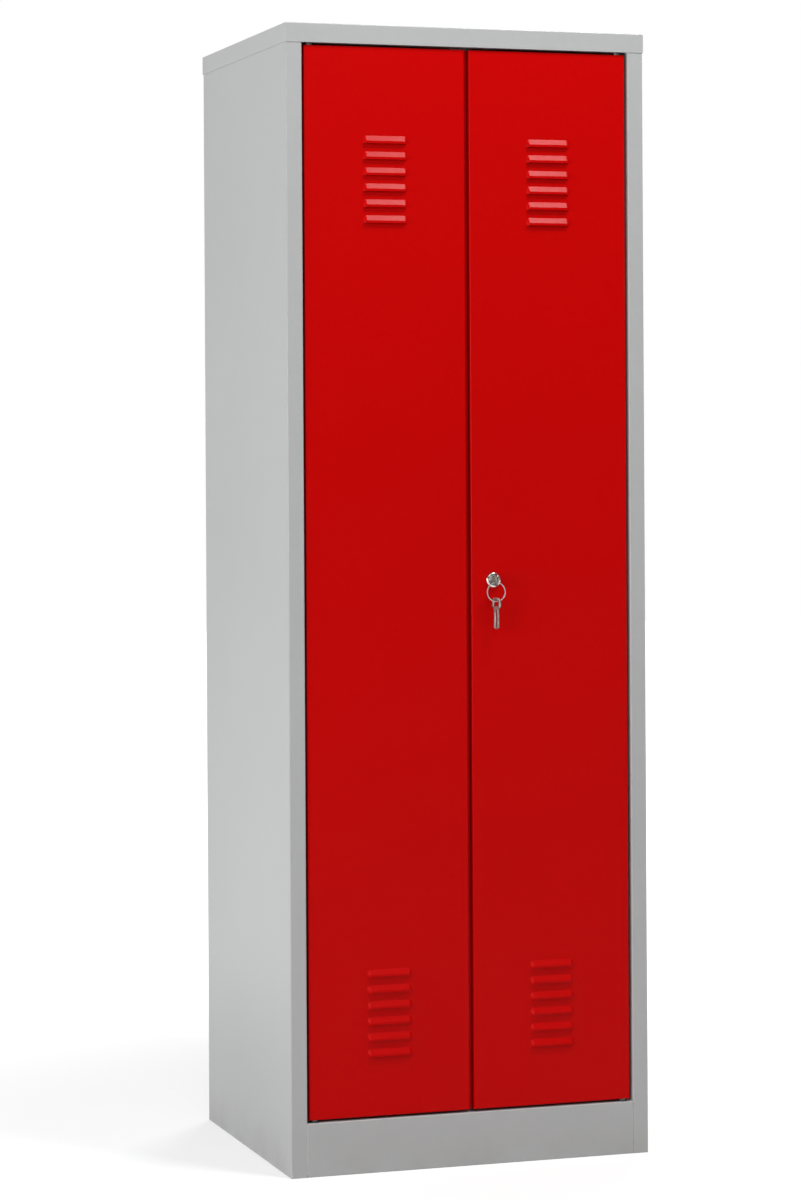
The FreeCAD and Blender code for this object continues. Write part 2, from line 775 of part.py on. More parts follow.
def lock_housing():
    """Turned lock case: a bevelled rosette in front of the door and a barrel through it."""
    bore, front = "plug_diameter / 2", "-1 * rosette_height"
    corners = [
        (bore, front, None),
        ("rosette_diameter / 2 - rosette_bevel", front, None),
        ("rosette_diameter / 2", f"{front} + rosette_bevel", None),
        ("rosette_diameter / 2", "0", None),
        ("lock_body_diameter / 2", "0", None),
        ("lock_body_diameter / 2", "lock_body_length", None),
        (bore, "lock_body_length", None),
    ]
    body = turned("lock_housing", corners)
    place(body, LOCK_X, DOOR_Y, "lock_height")
    return body


def lock_nut():
    """Hexagon nut that clamps the lock case to the door from behind."""
    prism = doc.addObject("Part::Prism", "nut_blank")
    prism.Polygon = 6
    bind(prism, "Circumradius", "nut_width / 3 ^ 0.5")
    bind(prism, "Height", "nut_thickness")
    bore = doc.addObject("Part::Cylinder", "nut_bore")
    bind(bore, "Radius", "lock_body_diameter / 2")
    bind(bore, "Height", "nut_thickness")
    nut = doc.addObject("Part::Cut", "lock_nut")
    nut.Label = "lock_nut"
    nut.Base = prism
    nut.Tool = bore
    nut.Placement.Rotation = FreeCAD.Rotation(FreeCAD.Vector(1, 0, 0), -90)
    place(nut, LOCK_X, DOOR_INNER_Y, "lock_height")
    return nut


def lock_plug():
    """Turning core of the lock, with a keyway in front and a square spigot behind."""
    radius = "(plug_diameter / 2 - plug_clear)"
    corners = rectangle("0", radius, "0", PLUG_LENGTH)
    body = turned("lock_plug", corners)
    spigot = new_sketch(body, "XZ_Plane", f"-1 * ({PLUG_LENGTH} + cam_thickness)")
    add_outline(spigot, centred_square("spigot_width"))
    pad(body, spigot, "cam_thickness")
    keyway = new_sketch(body, "XZ_Plane")
    slot_x = about_middle("(key_thickness / 2 + key_clear)")
    slot_z = about_middle("(key_blade_width / 2 + key_clear)")
    add_outline(keyway, rectangle(*slot_x, *slot_z))
    cut(body, keyway, "key_blade_length + key_neck", both_ways=False)
    screw_hole = new_sketch(body, "XZ_Plane", f"-1 * ({PLUG_LENGTH} + cam_thickness)")
    add_circle(screw_hole, "0", "0", "screw_diameter")
    cut(body, screw_hole, "2 * screw_length")
    place(body, LOCK_X, ROSETTE_Y, "lock_height")
    return body


def centred_square(width):
    """Corners of a square about the sketch's origin."""
    ends = about_middle(f"{width} / 2")
    return rectangle(*ends, *ends)


def lock_cam():
    """Flat tongue on the plug's spigot; it hangs down when unlocked."""
    body = new_body("lock_cam")
    sketch = new_sketch(body, "XZ_Plane", "-1 * cam_thickness")
    x_ends = about_middle("cam_width / 2")
    add_outline(sketch, rectangle(*x_ends, f"-1 * {CAM_LENGTH}", "cam_hub", "cam_corner"))
    add_outline(sketch, centred_square("spigot_width"))
    pad(body, sketch, "cam_thickness")
    place(body, LOCK_X, CAM_Y, "lock_height")
    return body


def cam_screw():
    """Screw that holds the cam on the plug."""
    root, bevel = "-1 * screw_length", "screw_head_height / 2"
    corners = [
        ("0", root, None),
        ("screw_diameter / 2", root, None),
        ("screw_diameter / 2", "0", None),
        ("screw_head_diameter / 2", "0", None),
        ("screw_head_diameter / 2", bevel, None),
        (f"screw_head_diameter / 2 - {bevel}", "screw_head_height", None),
        ("0", "screw_head_height", None),
    ]
    body = turned("cam_screw", corners)
    place(body, LOCK_X, f"{CAM_Y} + cam_thickness", "lock_height")
    return body


def flat_key(label):
    """Flat key: a rounded bow with a hole, and a blade with bits cut in its lower edge."""
    body = new_body(label)
    bow_front, bow_back = "(-1 * key_neck - bow_depth)", "(-1 * key_neck)"
    rim = "((bow_depth - bow_hole_depth) / 2)"
    bow = new_sketch(body, "YZ_Plane")
    bow_z = about_middle("bow_height / 2")
    add_outline(bow, rectangle(bow_front, bow_back, *bow_z, "bow_corner"))
    hole_y = f"{bow_front} + {rim}", f"{bow_back} - {rim}"
    add_outline(bow, rectangle(*hole_y, *about_middle("bow_hole_height / 2"), "bow_hole_corner"))
    pad(body, bow, "key_thickness", both_ways=True)
    blade = new_sketch(body, "YZ_Plane")
    tip, half_width = "key_blade_length", "key_blade_width / 2"
    add_outline(blade, [
        (f"{bow_back} - {rim} / 2", f"-1 * {half_width}", None),
        (f"{tip} - {half_width} / 2", f"-1 * {half_width}", None),
        (tip, "0", None),
        (f"{tip} - {half_width} / 2", half_width, None),
        (f"{bow_back} - {rim} / 2", half_width, None),
    ])
    pad(body, blade, "key_thickness", both_ways=True)
    notch = new_sketch(body, "YZ_Plane")
    first = "(key_blade_length - key_blade_width / 2 - (bit_count - 1) * bit_pitch)"
    low = "-1 * key_blade_width / 2"
    add_outline(notch, [
        (f"{first} - bit_half_width", low, None),
        (f"{first} + bit_half_width", low, None),
        (first, f"{low} + bit_depth", None),
    ])
    bit = cut(body, notch, "2 * key_thickness")
    bits = body.newObject("PartDesign::LinearPattern", f"{label}_bits")
    bits.Originals = [bit]
    bits.Direction = (notch, ["H_Axis"])
    bind(bits, "Length", "(bit_count - 1) * bit_pitch")
    bind(bits, "Occurrences", "bit_count")
    body.Tip = bits
    doc.recompute()
    return body


def lock_key():
    """Key in the lock, its bow upright."""
    body = flat_key("key")
    place(body, LOCK_X, ROSETTE_Y, "lock_height")
    return body


def key_ring():
    """Ring of flat wire through the bows of both keys."""
    inner, outer = "(ring_radius - ring_wire / 2)", "(ring_radius + ring_wire / 2)"
    ring = turned("key_ring", rectangle(inner, outer, *about_middle("ring_wire / 2")))
    place(ring, LOCK_X, BOW_Y, RING_Z)
    return ring


def spare_key():
    """Second key, hanging turned on the ring with its blade down."""
    body = flat_key("spare_key")
    hole_end = "(key_neck + bow_depth - (bow_depth - bow_hole_depth) / 2)"
    blade_down = FreeCAD.Rotation(FreeCAD.Vector(1, 0, 0), -90)
    body.Placement.Rotation = FreeCAD.Rotation(FreeCAD.Vector(0, 0, 1), SPARE_KEY_TURN) * blade_down
    place(body, LOCK_X, BOW_Y, f"{RING_Z} - ring_radius + ring_wire / 2 + hang_gap - {hole_end}")
    return body


def build():
    """All sub-parts, in the order in which the locker is put together."""
    pieces = [top_cap(), plinth(), bottom_panel(), back_panel(), centre_partition(), centre_post()]
    for name, side in SIDES.items():
        pieces += [side_panel(name, side), hat_shelf(name, side), clothes_rail(name, side)]
        pieces += [door_panel(name, side), door_stiffener(name, side)]
        pieces += [hinge_plates(name, side), hinge_pins(name, side)]
    pieces += [rail_sockets(), hinge_bushes(), door_buffers(), magnet_catches(), closing_strip()]
    pieces += [lock_housing(), lock_nut(), lock_plug(), lock_cam(), cam_screw()]
    pieces += [lock_key(), key_ring(), spare_key()]
    return pieces


def write(pieces):
    """Check every object and write each sub-part to its own file."""
    doc.recompute()
    failed = [item.Label for item in doc.Objects if {"Invalid", "Error"} & set(item.State)]
    failed += [piece.Label for piece in pieces if piece.Shape.isNull() or not piece.Shape.isValid()]
    if failed:
        raise RuntimeError(f"these failed: {failed}")
    os.makedirs("parts", exist_ok=True)
    for piece in pieces:
        piece.Shape.exportStep(f"parts/{piece.Label}.step")
        print(piece.Label, len(piece.Shape.Solids), round(piece.Shape.Volume, 1))


write(build())
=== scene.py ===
"""Two-door clothing locker: finishes, fasteners, lock, keys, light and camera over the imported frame."""

import logging
import math
from dataclasses import dataclass
from enum import Enum
from typing import Callable, Sequence

import bpy
from mathutils import Matrix, Vector


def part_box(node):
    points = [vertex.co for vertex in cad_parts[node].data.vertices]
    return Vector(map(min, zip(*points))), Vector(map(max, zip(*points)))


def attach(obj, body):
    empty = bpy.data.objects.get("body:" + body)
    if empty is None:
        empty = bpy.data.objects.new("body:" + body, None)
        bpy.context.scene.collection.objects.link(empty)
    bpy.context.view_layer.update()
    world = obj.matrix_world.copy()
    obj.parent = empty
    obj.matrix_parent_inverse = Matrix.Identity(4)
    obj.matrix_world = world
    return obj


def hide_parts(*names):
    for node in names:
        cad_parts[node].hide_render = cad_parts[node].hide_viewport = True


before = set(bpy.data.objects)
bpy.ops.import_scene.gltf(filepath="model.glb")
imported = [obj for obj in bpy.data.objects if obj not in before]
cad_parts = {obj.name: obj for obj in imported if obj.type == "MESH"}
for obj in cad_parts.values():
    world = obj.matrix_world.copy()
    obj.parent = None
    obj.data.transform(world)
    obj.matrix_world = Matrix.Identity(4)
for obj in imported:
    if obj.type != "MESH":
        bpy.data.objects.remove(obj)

LOG = logging.getLogger("locker")
MM = 0.001
QUARTER_TURN = math.radians(90.0)
DOUBLES_GAP = 0.002 * MM
NOISE_MIDDLE = 0.5
WHITE = (1.0, 1.0, 1.0)
UNSTRETCHED = (1.0, 1.0, 1.0)
FORWARD = Vector((0.0, -1.0, 0.0))
BACKWARD = Vector((0.0, 1.0, 0.0))
# Sockets of a Mix node by number, because each kind of data repeats their names.
MIX_FACTOR = 0
MIX_FIRST = 6
MIX_SECOND = 7
MIX_RESULT = 2
Triple = tuple[float, float, float]
Rgb = Triple
Limits = tuple[float, float]
Profile = Sequence[tuple[float, float]]


class Slot(Enum):
    """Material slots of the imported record."""

    GREY_PAINT = "grey_paint"
    RED_PAINT = "red_paint"
    ZINC_STEEL = "zinc_steel"
    BRIGHT_METAL = "bright_metal"
    BLACK_RUBBER = "black_rubber"
    DARK_PLASTIC = "dark_plastic"


class Detail(Enum):
    """Octaves of finer lumps in a noise."""

    PLAIN = 2.0
    CLOUDY = 3.0
    FINE = 4.0


class Side(Enum):
    """The two compartments, with the sign of their X."""

    LEFT = -1
    RIGHT = 1

    @property
    def word(self) -> str:
        """Word that begins the names of this side's pieces."""
        return self.name.lower()


class Signal:
    """Output socket of a node; Python's operators on it add Math nodes."""

    def __init__(self, tree: "FinishTree", socket: bpy.types.NodeSocket) -> None:
        """Keep the socket with the tree that it belongs to."""
        self.tree = tree
        self.socket = socket

    def __add__(self, other: "Signal | float") -> "Signal":
        """Sum."""
        return self.tree.math("ADD", self, other)

    def __radd__(self, other: float) -> "Signal":
        """Sum with a number on the left."""
        return self.tree.math("ADD", other, self)

    def __sub__(self, other: "Signal | float") -> "Signal":
        """Difference."""
        return self.tree.math("SUBTRACT", self, other)

    def __rsub__(self, other: float) -> "Signal":
        """Difference from a number on the left."""
        return self.tree.math("SUBTRACT", other, self)

    def __mul__(self, other: "Signal | float") -> "Signal":
        """Product."""
        return self.tree.math("MULTIPLY", self, other)

    def __rmul__(self, other: float) -> "Signal":
        """Product with a number on the left."""
        return self.tree.math("MULTIPLY", other, self)

    def __abs__(self) -> "Signal":
        """Size without sign."""
        return self.tree.math("ABSOLUTE", self, 0.0)

    def least(self, other: "Signal | float") -> "Signal":
        """The smaller of two values."""
        return self.tree.math("MINIMUM", self, other)

    def most(self, other: "Signal | float") -> "Signal":
        """The larger of two values."""
        return self.tree.math("MAXIMUM", self, other)

    def swing(self) -> "Signal":
        """A noise's departure from its middle."""
        return self - NOISE_MIDDLE

    def between(self, start: float, end: float) -> "Signal":
        """Smooth step from 0 at one value to 1 at another, which may be the smaller.

        Args:
            start: value where the step is 0.
            end: value where the step is 1.

        Returns:
            The step, from 0 to 1.
        """
        settings = {"interpolation_type": "SMOOTHSTEP"}
        low, high = min(start, end), max(start, end)
        inputs = {"Value": self, "From Min": low, "From Max": high}
        step = self.tree.node("ShaderNodeMapRange", settings, inputs)
        return step if start < end else 1.0 - step


class FinishTree:
    """Node tree of one material, or of the world."""

    def __init__(self, owner: bpy.types.Material | bpy.types.World) -> None:
        """Empty the owner's node tree.

        Args:
            owner: material or world that the tree belongs to.
        """
        owner.use_nodes = True
        self.tree = owner.node_tree
        self.tree.nodes.clear()

    def node(self, kind: str, settings: dict | None = None, inputs: dict | None = None,
             output: int | str = 0) -> Signal:
        """Add one node of any type.

        Args:
            kind: Blender's name of the node type.
            settings: properties of the node, set before its sockets.
            inputs: values or signals by the socket's name or number.
            output: name or number of the output that is wanted.

        Returns:
            The signal at that output.
        """
        made = self.tree.nodes.new(kind)
        for name, setting in (settings or {}).items():
            setattr(made, name, setting)
        for key, given in (inputs or {}).items():
            if isinstance(given, Signal):
                self.tree.links.new(given.socket, made.inputs[key])
            else:
                made.inputs[key].default_value = given
        return Signal(self, made.outputs[output])

    def math(self, operation: str, first: Signal | float, second: Signal | float) -> Signal:
        """One Math node."""
        return self.node("ShaderNodeMath", {"operation": operation}, {0: first, 1: second})

    def blend(self, factor: Signal | float, first: Signal | Rgb, second: Signal | Rgb) -> Signal:
        """Mix of two colours.

        Args:
            factor: share of the second colour.
            first: colour at 0.
            second: colour at 1.

        Returns:
            The mixed colour.
        """
        colours = [given if isinstance(given, Signal) else (*given, 1.0) for given in (first, second)]
        inputs = {MIX_FACTOR: factor, MIX_FIRST: colours[0], MIX_SECOND: colours[1]}
        return self.node("ShaderNodeMix", {"data_type": "RGBA"}, inputs, MIX_RESULT)

    def place(self) -> Signal:
        """Object coordinates, which are metres in the locker's frame."""
        return self.node("ShaderNodeTexCoord", output="Object")

    def axis(self, name: str) -> Signal:
        """One of the Object coordinates, by its letter."""
        return self.node("ShaderNodeSeparateXYZ", None, {"Vector": self.place()}, name)

    def noise(self, scale: float, detail: Detail, stretch: Triple = UNSTRETCHED) -> Signal:
        """Noise in the locker's frame.

        Args:
            scale: lumps to a metre.
            detail: how many octaves of finer lumps it has.
            stretch: factor on each axis before the noise is read.

        Returns:
            The noise, about its middle.
        """
        where = self.node("ShaderNodeMapping", None, {"Vector": self.place(), "Scale": stretch})
        inputs = {"Vector": where, "Scale": scale, "Detail": detail.value}
        return self.node("ShaderNodeTexNoise", None, inputs)

    def relief(self, height: Signal, depth: float, strength: float) -> Signal:
        """Bumped normal from a height.

        Args:
            height: relief from 0 to 1.
            depth: metres that a height of 1 stands for.
            strength: share of the relief that shows.

        Returns:
            The normal.
        """
        inputs = {"Height": height, "Distance": depth, "Strength": strength}
        return self.node("ShaderNodeBump", None, inputs)

    def end(self, kind: str, shader: Signal) -> None:
        """Output node of a kind, with the shader that it shows."""
        made = self.tree.nodes.new(kind)
        self.tree.links.new(shader.socket, made.inputs["Surface"])

    def surface(self, inputs: dict) -> None:
        """Principled shader with these inputs, as the material's surface."""
        shader = self.node("ShaderNodeBsdfPrincipled", None, inputs)
        self.end("ShaderNodeOutputMaterial", shader)


def scaled(colour: Rgb, factor: float) -> Rgb:
    """Colour made lighter or darker."""
    return tuple(min(part * factor, 1.0) for part in colour)


def corners(piece: bpy.types.Object) -> tuple[Vector, Vector]:
    """Lowest and highest corner of a piece's own mesh."""
    points = [Vector(corner) for corner in piece.bound_box]
    return Vector(map(min, *points)), Vector(map(max, *points))


@dataclass(frozen=True)
class PowderCoat:
    """Baked powder paint on folded sheet: fine orange peel, soft clouding, and lighter edges, partly thin,
    rubbed paint and partly a painted highlight.
    """

    slot: Slot
    colour: Rgb
    # Lighter colour of the edges: thin, rubbed paint, and partly a painted highlight.
    thin: Rgb
    # Darker, browner colour for patches in a band above the floor.
    low_tint: Rgb
    roughness: float = 0.31
    gloss_change: float = 0.08
    specular: float = 0.3
    cloud_scale: float = 2.6
    cloud_share: float = 1.1
    mottle_scale: float = 90.0
    mottle_share: float = 0.4
    peel_scale: float = 620.0
    peel_share: float = 0.35
    peel_depth: float = 0.1 * MM
    peel_strength: float = 0.3
    variation: float = 0.05
    fold_width: float = 1.8 * MM
    fold_core: float = 0.2
    thin_and_highlight_share: float = 0.35
    edge_breakup_scale: float = 34.0
    edge_breakup_limits: Limits = (0.42, 0.62)
    edge_breakup_floor: float = 0.45
    low_tint_height: float = 0.09
    low_tint_scale: float = 14.0
    low_tint_limits: Limits = (0.3, 0.75)
    low_tint_share: float = 0.16
    low_tint_dulling: float = 0.1

    def thin_and_highlight_mask(self, tree: FinishTree, low: Vector, high: Vector) -> Signal:
        """Mask of the folded edges along a node's own box, where thin, rubbed paint and a painted highlight
        go.

        Args:
            tree: tree that the nodes are added to.
            low: lowest corner of the node's box.
            high: highest corner of the node's box.

        Returns:
            The mask, 1 on an edge of the box.
        """
        gaps = []
        for name, start, end in zip("XYZ", low, high):
            axis = tree.axis(name)
            gaps.append(abs(axis - start).least(abs(end - axis)))
        nearer, further = gaps[0].least(gaps[1]), gaps[0].most(gaps[1])
        edge = nearer.most(further.least(gaps[2]))
        edge_breakup_patches = tree.noise(self.edge_breakup_scale, Detail.CLOUDY).between(*self.edge_breakup_limits)
        edge_breakup = self.edge_breakup_floor + (1.0 - self.edge_breakup_floor) * edge_breakup_patches
        return edge.between(self.fold_width, self.fold_core * self.fold_width) * edge_breakup

    def make(self, piece: bpy.types.Object) -> bpy.types.Material:
        """Material for one painted piece.

        Args:
            piece: the piece, whose box places the thin paint and the painted edge highlight.

        Returns:
            The material.
        """
        material = bpy.data.materials.new(f"{self.slot.value}_{piece.name}")
        tree = FinishTree(material)
        mottle = tree.noise(self.mottle_scale, Detail.PLAIN)
        peel = tree.noise(self.peel_scale, Detail.PLAIN)
        share = NOISE_MIDDLE + self.cloud_share * tree.noise(self.cloud_scale, Detail.CLOUDY).swing()
        share = share + self.mottle_share * mottle.swing() + self.peel_share * peel.swing()
        shades = [scaled(self.colour, 1.0 + sign * self.variation) for sign in (-1, 1)]
        # Lighter edges: partly thin, rubbed paint, partly a painted highlight along them.
        thin_and_highlight_edges = self.thin_and_highlight_mask(tree, *corners(piece))
        colour = tree.blend(thin_and_highlight_edges * self.thin_and_highlight_share, tree.blend(share, *shades), self.thin)
        # Darker, browner patches in a band above the floor, fading out upward; the paint is rougher there
        # too.
        patches = tree.noise(self.low_tint_scale, Detail.FINE).between(*self.low_tint_limits)
        low_tint_mask = tree.axis("Z").between(self.low_tint_height, 0.0) * patches
        tree.surface({
            "Base Color": tree.blend(low_tint_mask * self.low_tint_share, colour, self.low_tint),
            "Roughness": self.roughness + self.gloss_change * mottle.swing() + self.low_tint_dulling * low_tint_mask,
            "Specular IOR Level": self.specular,
            "Normal": tree.relief(peel, self.peel_depth, self.peel_strength),
        })
        return material


@dataclass(frozen=True)
class PlatedMetal:
    """Plated or bright metal: fine scratches along one axis and a faint bloom."""

    slot: Slot
    colour: Rgb
    dull: Rgb
    roughness: float
    bloom_scale: float
    stretch: Triple
    bloom_limits: Limits = (0.3, 0.7)
    bloom_share: float = 0.55
    spangle_scale: float = 2.2
    spangle_share: float = 0.25
    line_scale: float = 700.0
    line_share: float = 0.2
    gloss_change: float = 0.14
    line_dulling: float = 0.1
    scratch_depth: float = 0.04 * MM
    scratch_strength: float = 0.3

    def make(self, piece: bpy.types.Object) -> bpy.types.Material:
        """Material for one metal piece.

        Args:
            piece: the piece that is to have it.

        Returns:
            The material.
        """
        material = bpy.data.materials.new(f"{self.slot.value}_{piece.name}")
        tree = FinishTree(material)
        bloom = tree.noise(self.bloom_scale, Detail.CLOUDY).between(*self.bloom_limits)
        lines = tree.noise(self.line_scale, Detail.PLAIN, self.stretch)
        cells = {"Vector": tree.place(), "Scale": self.spangle_scale * self.bloom_scale}
        spangle = tree.node("ShaderNodeTexVoronoi", None, cells, "Color")
        grain = tree.node("ShaderNodeSeparateColor", None, {"Color": spangle}, "Red")
        share = self.bloom_share * bloom + self.spangle_share * grain + self.line_share * lines
        gloss = self.gloss_change * share.swing() + self.line_dulling * lines.swing()
        tree.surface({
            "Base Color": tree.blend(share, self.colour, self.dull),
            "Metallic": 1.0,
            "Roughness": self.roughness + gloss,
            "Normal": tree.relief(lines, self.scratch_depth, self.scratch_strength),
        })
        return material


@dataclass(frozen=True)
class MattPolymer:
    """Rubber or nylon: matt, with moulding grain and a little bloom."""

    slot: Slot
    colour: Rgb
    bloom: Rgb
    roughness: float
    patch_scale: float = 160.0
    patch_limits: Limits = (0.4, 0.75)
    patch_share: float = 0.7
    gloss_change: float = 0.15
    grain_scale: float = 1800.0
    grain_share: float = 0.3
    grain_depth: float = 0.12 * MM
    grain_strength: float = 0.4

    def make(self, piece: bpy.types.Object) -> bpy.types.Material:
        """Material for one moulded piece.

        Args:
            piece: the piece that is to have it.

        Returns:
            The material.
        """
        material = bpy.data.materials.new(f"{self.slot.value}_{piece.name}")
        tree = FinishTree(material)
        grain = tree.noise(self.grain_scale, Detail.CLOUDY)
        patches = tree.noise(self.patch_scale, Detail.CLOUDY).between(*self.patch_limits)
        share = self.patch_share * patches + self.grain_share * grain
        tree.surface({
            "Base Color": tree.blend(share, self.colour, self.bloom),
            "Roughness": self.roughness + self.gloss_change * patches.swing(),
            "Normal": tree.relief(grain, self.grain_depth, self.grain_strength),
        })
        return material


GREY_PAINT = PowderCoat(
    Slot.GREY_PAINT,
    colour=(0.470, 0.476, 0.476),
    thin=(0.62, 0.63, 0.63),
    low_tint=(0.33, 0.30, 0.27),
)
RED_PAINT = PowderCoat(
    Slot.RED_PAINT,
    colour=(0.57, 0.0002, 0.0002),
    thin=(0.64, 0.012, 0.011),
    low_tint=(0.30, 0.05, 0.04),
    specular=0.08,
    thin_and_highlight_share=0.25,
    low_tint_share=0.08,
)
ZINC_STEEL = PlatedMetal(
    Slot.ZINC_STEEL,
    colour=(0.66, 0.67, 0.69),
    dull=(0.48, 0.49, 0.52),
    roughness=0.36,
    bloom_scale=180.0,
    stretch=(1.0, 1.0, 0.08),
)
# Steel darkened as painted shade, so the hinge pins sit dark and without glints in the shaded door gap.
DARKENED_PIN_STEEL = PlatedMetal(
    Slot.ZINC_STEEL,
    colour=(0.16, 0.15, 0.15),
    dull=(0.09, 0.085, 0.08),
    roughness=0.5,
    bloom_scale=180.0,
    stretch=(1.0, 1.0, 0.08),
)
BRIGHT_METAL = PlatedMetal(
    Slot.BRIGHT_METAL,
    colour=(0.76, 0.73, 0.69),
    dull=(0.60, 0.57, 0.53),
    roughness=0.22,
    bloom_scale=60.0,
    stretch=(1.0, 1.0, 0.05),
)
KEY_METAL = PlatedMetal(
    Slot.BRIGHT_METAL,
    colour=(0.36, 0.33, 0.30),
    dull=(0.24, 0.22, 0.20),
    roughness=0.32,
    bloom_scale=140.0,
    stretch=(1.0, 1.0, 0.05),
)
BLACK_RUBBER = MattPolymer(
    Slot.BLACK_RUBBER, colour=(0.022, 0.022, 0.023), bloom=(0.06, 0.06, 0.06), roughness=0.72)
DARK_PLASTIC = MattPolymer(
    Slot.DARK_PLASTIC, colour=(0.035, 0.035, 0.04), bloom=(0.07, 0.07, 0.075), roughness=0.5)
Finish = PowderCoat | PlatedMetal | MattPolymer


class Bench:
    """Modelling bench: Blender's operators, used on one piece at a time."""

    @staticmethod
    def pick(piece: bpy.types.Object) -> None:
        """Leave one piece selected and active, in object mode.

        Args:
            piece: the piece.
        """
        bpy.ops.object.select_all(action="DESELECT")
        piece.select_set(True)
        bpy.context.view_layer.objects.active = piece

    @staticmethod
    def start(name: str) -> bpy.types.Object:
        """Name the primitive just added and put its place into its mesh.

        Args:
            name: name of the piece.

        Returns:
            The primitive.
        """
        piece = bpy.context.active_object
        piece.name = piece.data.name = name
        bpy.ops.object.transform_apply(location=True, rotation=True, scale=True)
        return piece

    @classmethod
    def block(cls, name: str, centre: Vector, size: Vector) -> bpy.types.Object:
        """Box to start a piece from.

        Args:
            name: name of the piece.
            centre: middle of the box.
            size: length along each axis.

        Returns:
            The new object.
        """
        bpy.ops.object.select_all(action="DESELECT")
        bpy.ops.mesh.primitive_cube_add(size=1.0, location=centre)
        bpy.context.active_object.scale = size
        return cls.start(name)

    @staticmethod
    def choose(piece: bpy.types.Object, kind: str, test: Callable[..., bool]) -> None:
        """Go to edit mode with just the wanted parts of the mesh selected.

        Args:
            piece: the piece.
            kind: VERT, EDGE or FACE.
            test: says of a vertex, edge or face whether it is wanted.
        """
        bpy.ops.object.mode_set(mode="EDIT")
        bpy.ops.mesh.select_mode(type=kind)
        bpy.ops.mesh.select_all(action="DESELECT")
        bpy.ops.object.mode_set(mode="OBJECT")
        mesh = piece.data
        parts = {"VERT": mesh.vertices, "EDGE": mesh.edges, "FACE": mesh.polygons}[kind]
        for part in parts:
            part.select = test(part)
        bpy.ops.object.mode_set(mode="EDIT")

    @staticmethod
    def extrude(step: Sequence[float]) -> None:
        """Extrude what is selected by one step."""
        bpy.ops.mesh.extrude_region_move(TRANSFORM_OT_translate={"value": tuple(step)})

    @classmethod
    def turn(cls, name: str, profile: Profile, closed: bool, steps: int) -> bpy.types.Object:
        """Turned piece about the Y axis through the origin.

        Args:
            name: name of the piece.
            profile: points (radius, distance along -Y), in millimetres.
            closed: True if the last point joins the first, as in a ring.
            steps: facets round the axis.

        Returns:
            The new object, with its normals outward.
        """
        points = [Vector((radius * MM, -out * MM, 0.0)) for radius, out in profile]
        bpy.ops.object.select_all(action="DESELECT")
        bpy.ops.mesh.primitive_plane_add(size=MM, location=points[0])
        piece = cls.start(name)
        bpy.ops.object.mode_set(mode="EDIT")
        bpy.ops.mesh.select_all(action="SELECT")
        bpy.ops.mesh.merge(type="CENTER")
        loop = points[1:] + points[:1] if closed else points[1:]
        for before, after in zip(points, loop):
            cls.extrude(after - before)
        bpy.ops.mesh.select_all(action="SELECT")
        bpy.ops.mesh.spin(steps=steps, angle=math.tau, center=(0.0, 0.0, 0.0), axis=(0.0, 1.0, 0.0))
        cls.close()
        return piece

    @staticmethod
    def close() -> None:
        """Merge the doubles of the mesh in edit mode, point its faces outward and leave edit mode."""
        bpy.ops.mesh.select_all(action="SELECT")
        bpy.ops.mesh.remove_doubles(threshold=DOUBLES_GAP)
        bpy.ops.mesh.normals_make_consistent(inside=False)
        bpy.ops.object.mode_set(mode="OBJECT")

    @classmethod
    def modify(cls, piece: bpy.types.Object, kind: str, **settings: object) -> None:
        """Add a modifier and apply it.

        Args:
            piece: the piece.
            kind: Blender's name of the modifier type.
            settings: properties of the modifier.
        """
        cls.pick(piece)
        modifier = piece.modifiers.new(kind.lower(), kind)
        for name, setting in settings.items():
            setattr(modifier, name, setting)
        bpy.ops.object.modifier_apply(modifier=modifier.name)

    @classmethod
    def soften(cls, piece: bpy.types.Object, width: float, degrees: float, segments: int = 2) -> None:
        """Round the edges sharper than an angle, by a width in millimetres."""
        cls.modify(piece, "BEVEL", width=width * MM, segments=segments, limit_method="ANGLE",
                   angle_limit=math.radians(degrees))

    @classmethod
    def smooth(cls, piece: bpy.types.Object, degrees: float = 40.0) -> None:
        """Smooth shading across edges flatter than an angle."""
        cls.pick(piece)
        bpy.ops.object.shade_smooth_by_angle(angle=math.radians(degrees))

    @staticmethod
    def copy(pattern: bpy.types.Object) -> bpy.types.Object:
        """Copy of a piece with its own mesh.

        Args:
            pattern: the piece to copy.

        Returns:
            The copy.
        """
        copy = pattern.copy()
        copy.data = pattern.data.copy()
        bpy.context.scene.collection.objects.link(copy)
        return copy

    @classmethod
    def repeat(cls, pattern: bpy.types.Object, places: Sequence[Matrix]) -> bpy.types.Object:
        """Copies of a pattern, joined as one piece of its name; the pattern is used up.

        Args:
            pattern: the piece to copy.
            places: where each copy goes.

        Returns:
            The joined piece.
        """
        copies = [cls.copy(pattern) for _ in places]
        for copy, place in zip(copies, places):
            copy.data.transform(place)
        name = pattern.name
        bpy.data.objects.remove(pattern)
        cls.pick(copies[0])
        for copy in copies:
            copy.select_set(True)
        bpy.ops.object.join()
        copies[0].name = copies[0].data.name = name
        return copies[0]


def facing(at: Vector, toward: Vector) -> Matrix:
    """Placement that takes the -Y of a turned piece to a direction, at a point.

    Args:
        at: where the piece's origin goes.
        toward: where its -Y points.

    Returns:
        The placement.
    """
    turn = FORWARD.rotation_difference(toward)
    return Matrix.Translation(at) @ turn.to_matrix().to_4x4()


def spaced(first: float, last: float, count: int) -> list[float]:
    """Evenly spaced values from the first to the last."""
    return [first + (last - first) * number / (count - 1) for number in range(count)]


def dress(piece: bpy.types.Object, finish: Finish) -> None:
    """Give a piece or a CAD node its own material of a finish.

    Args:
        piece: the piece or node.
        finish: the finish.
    """
    material = finish.make(piece)
    if piece.material_slots:
        piece.material_slots[0].material = material
    else:
        piece.data.materials.append(material)


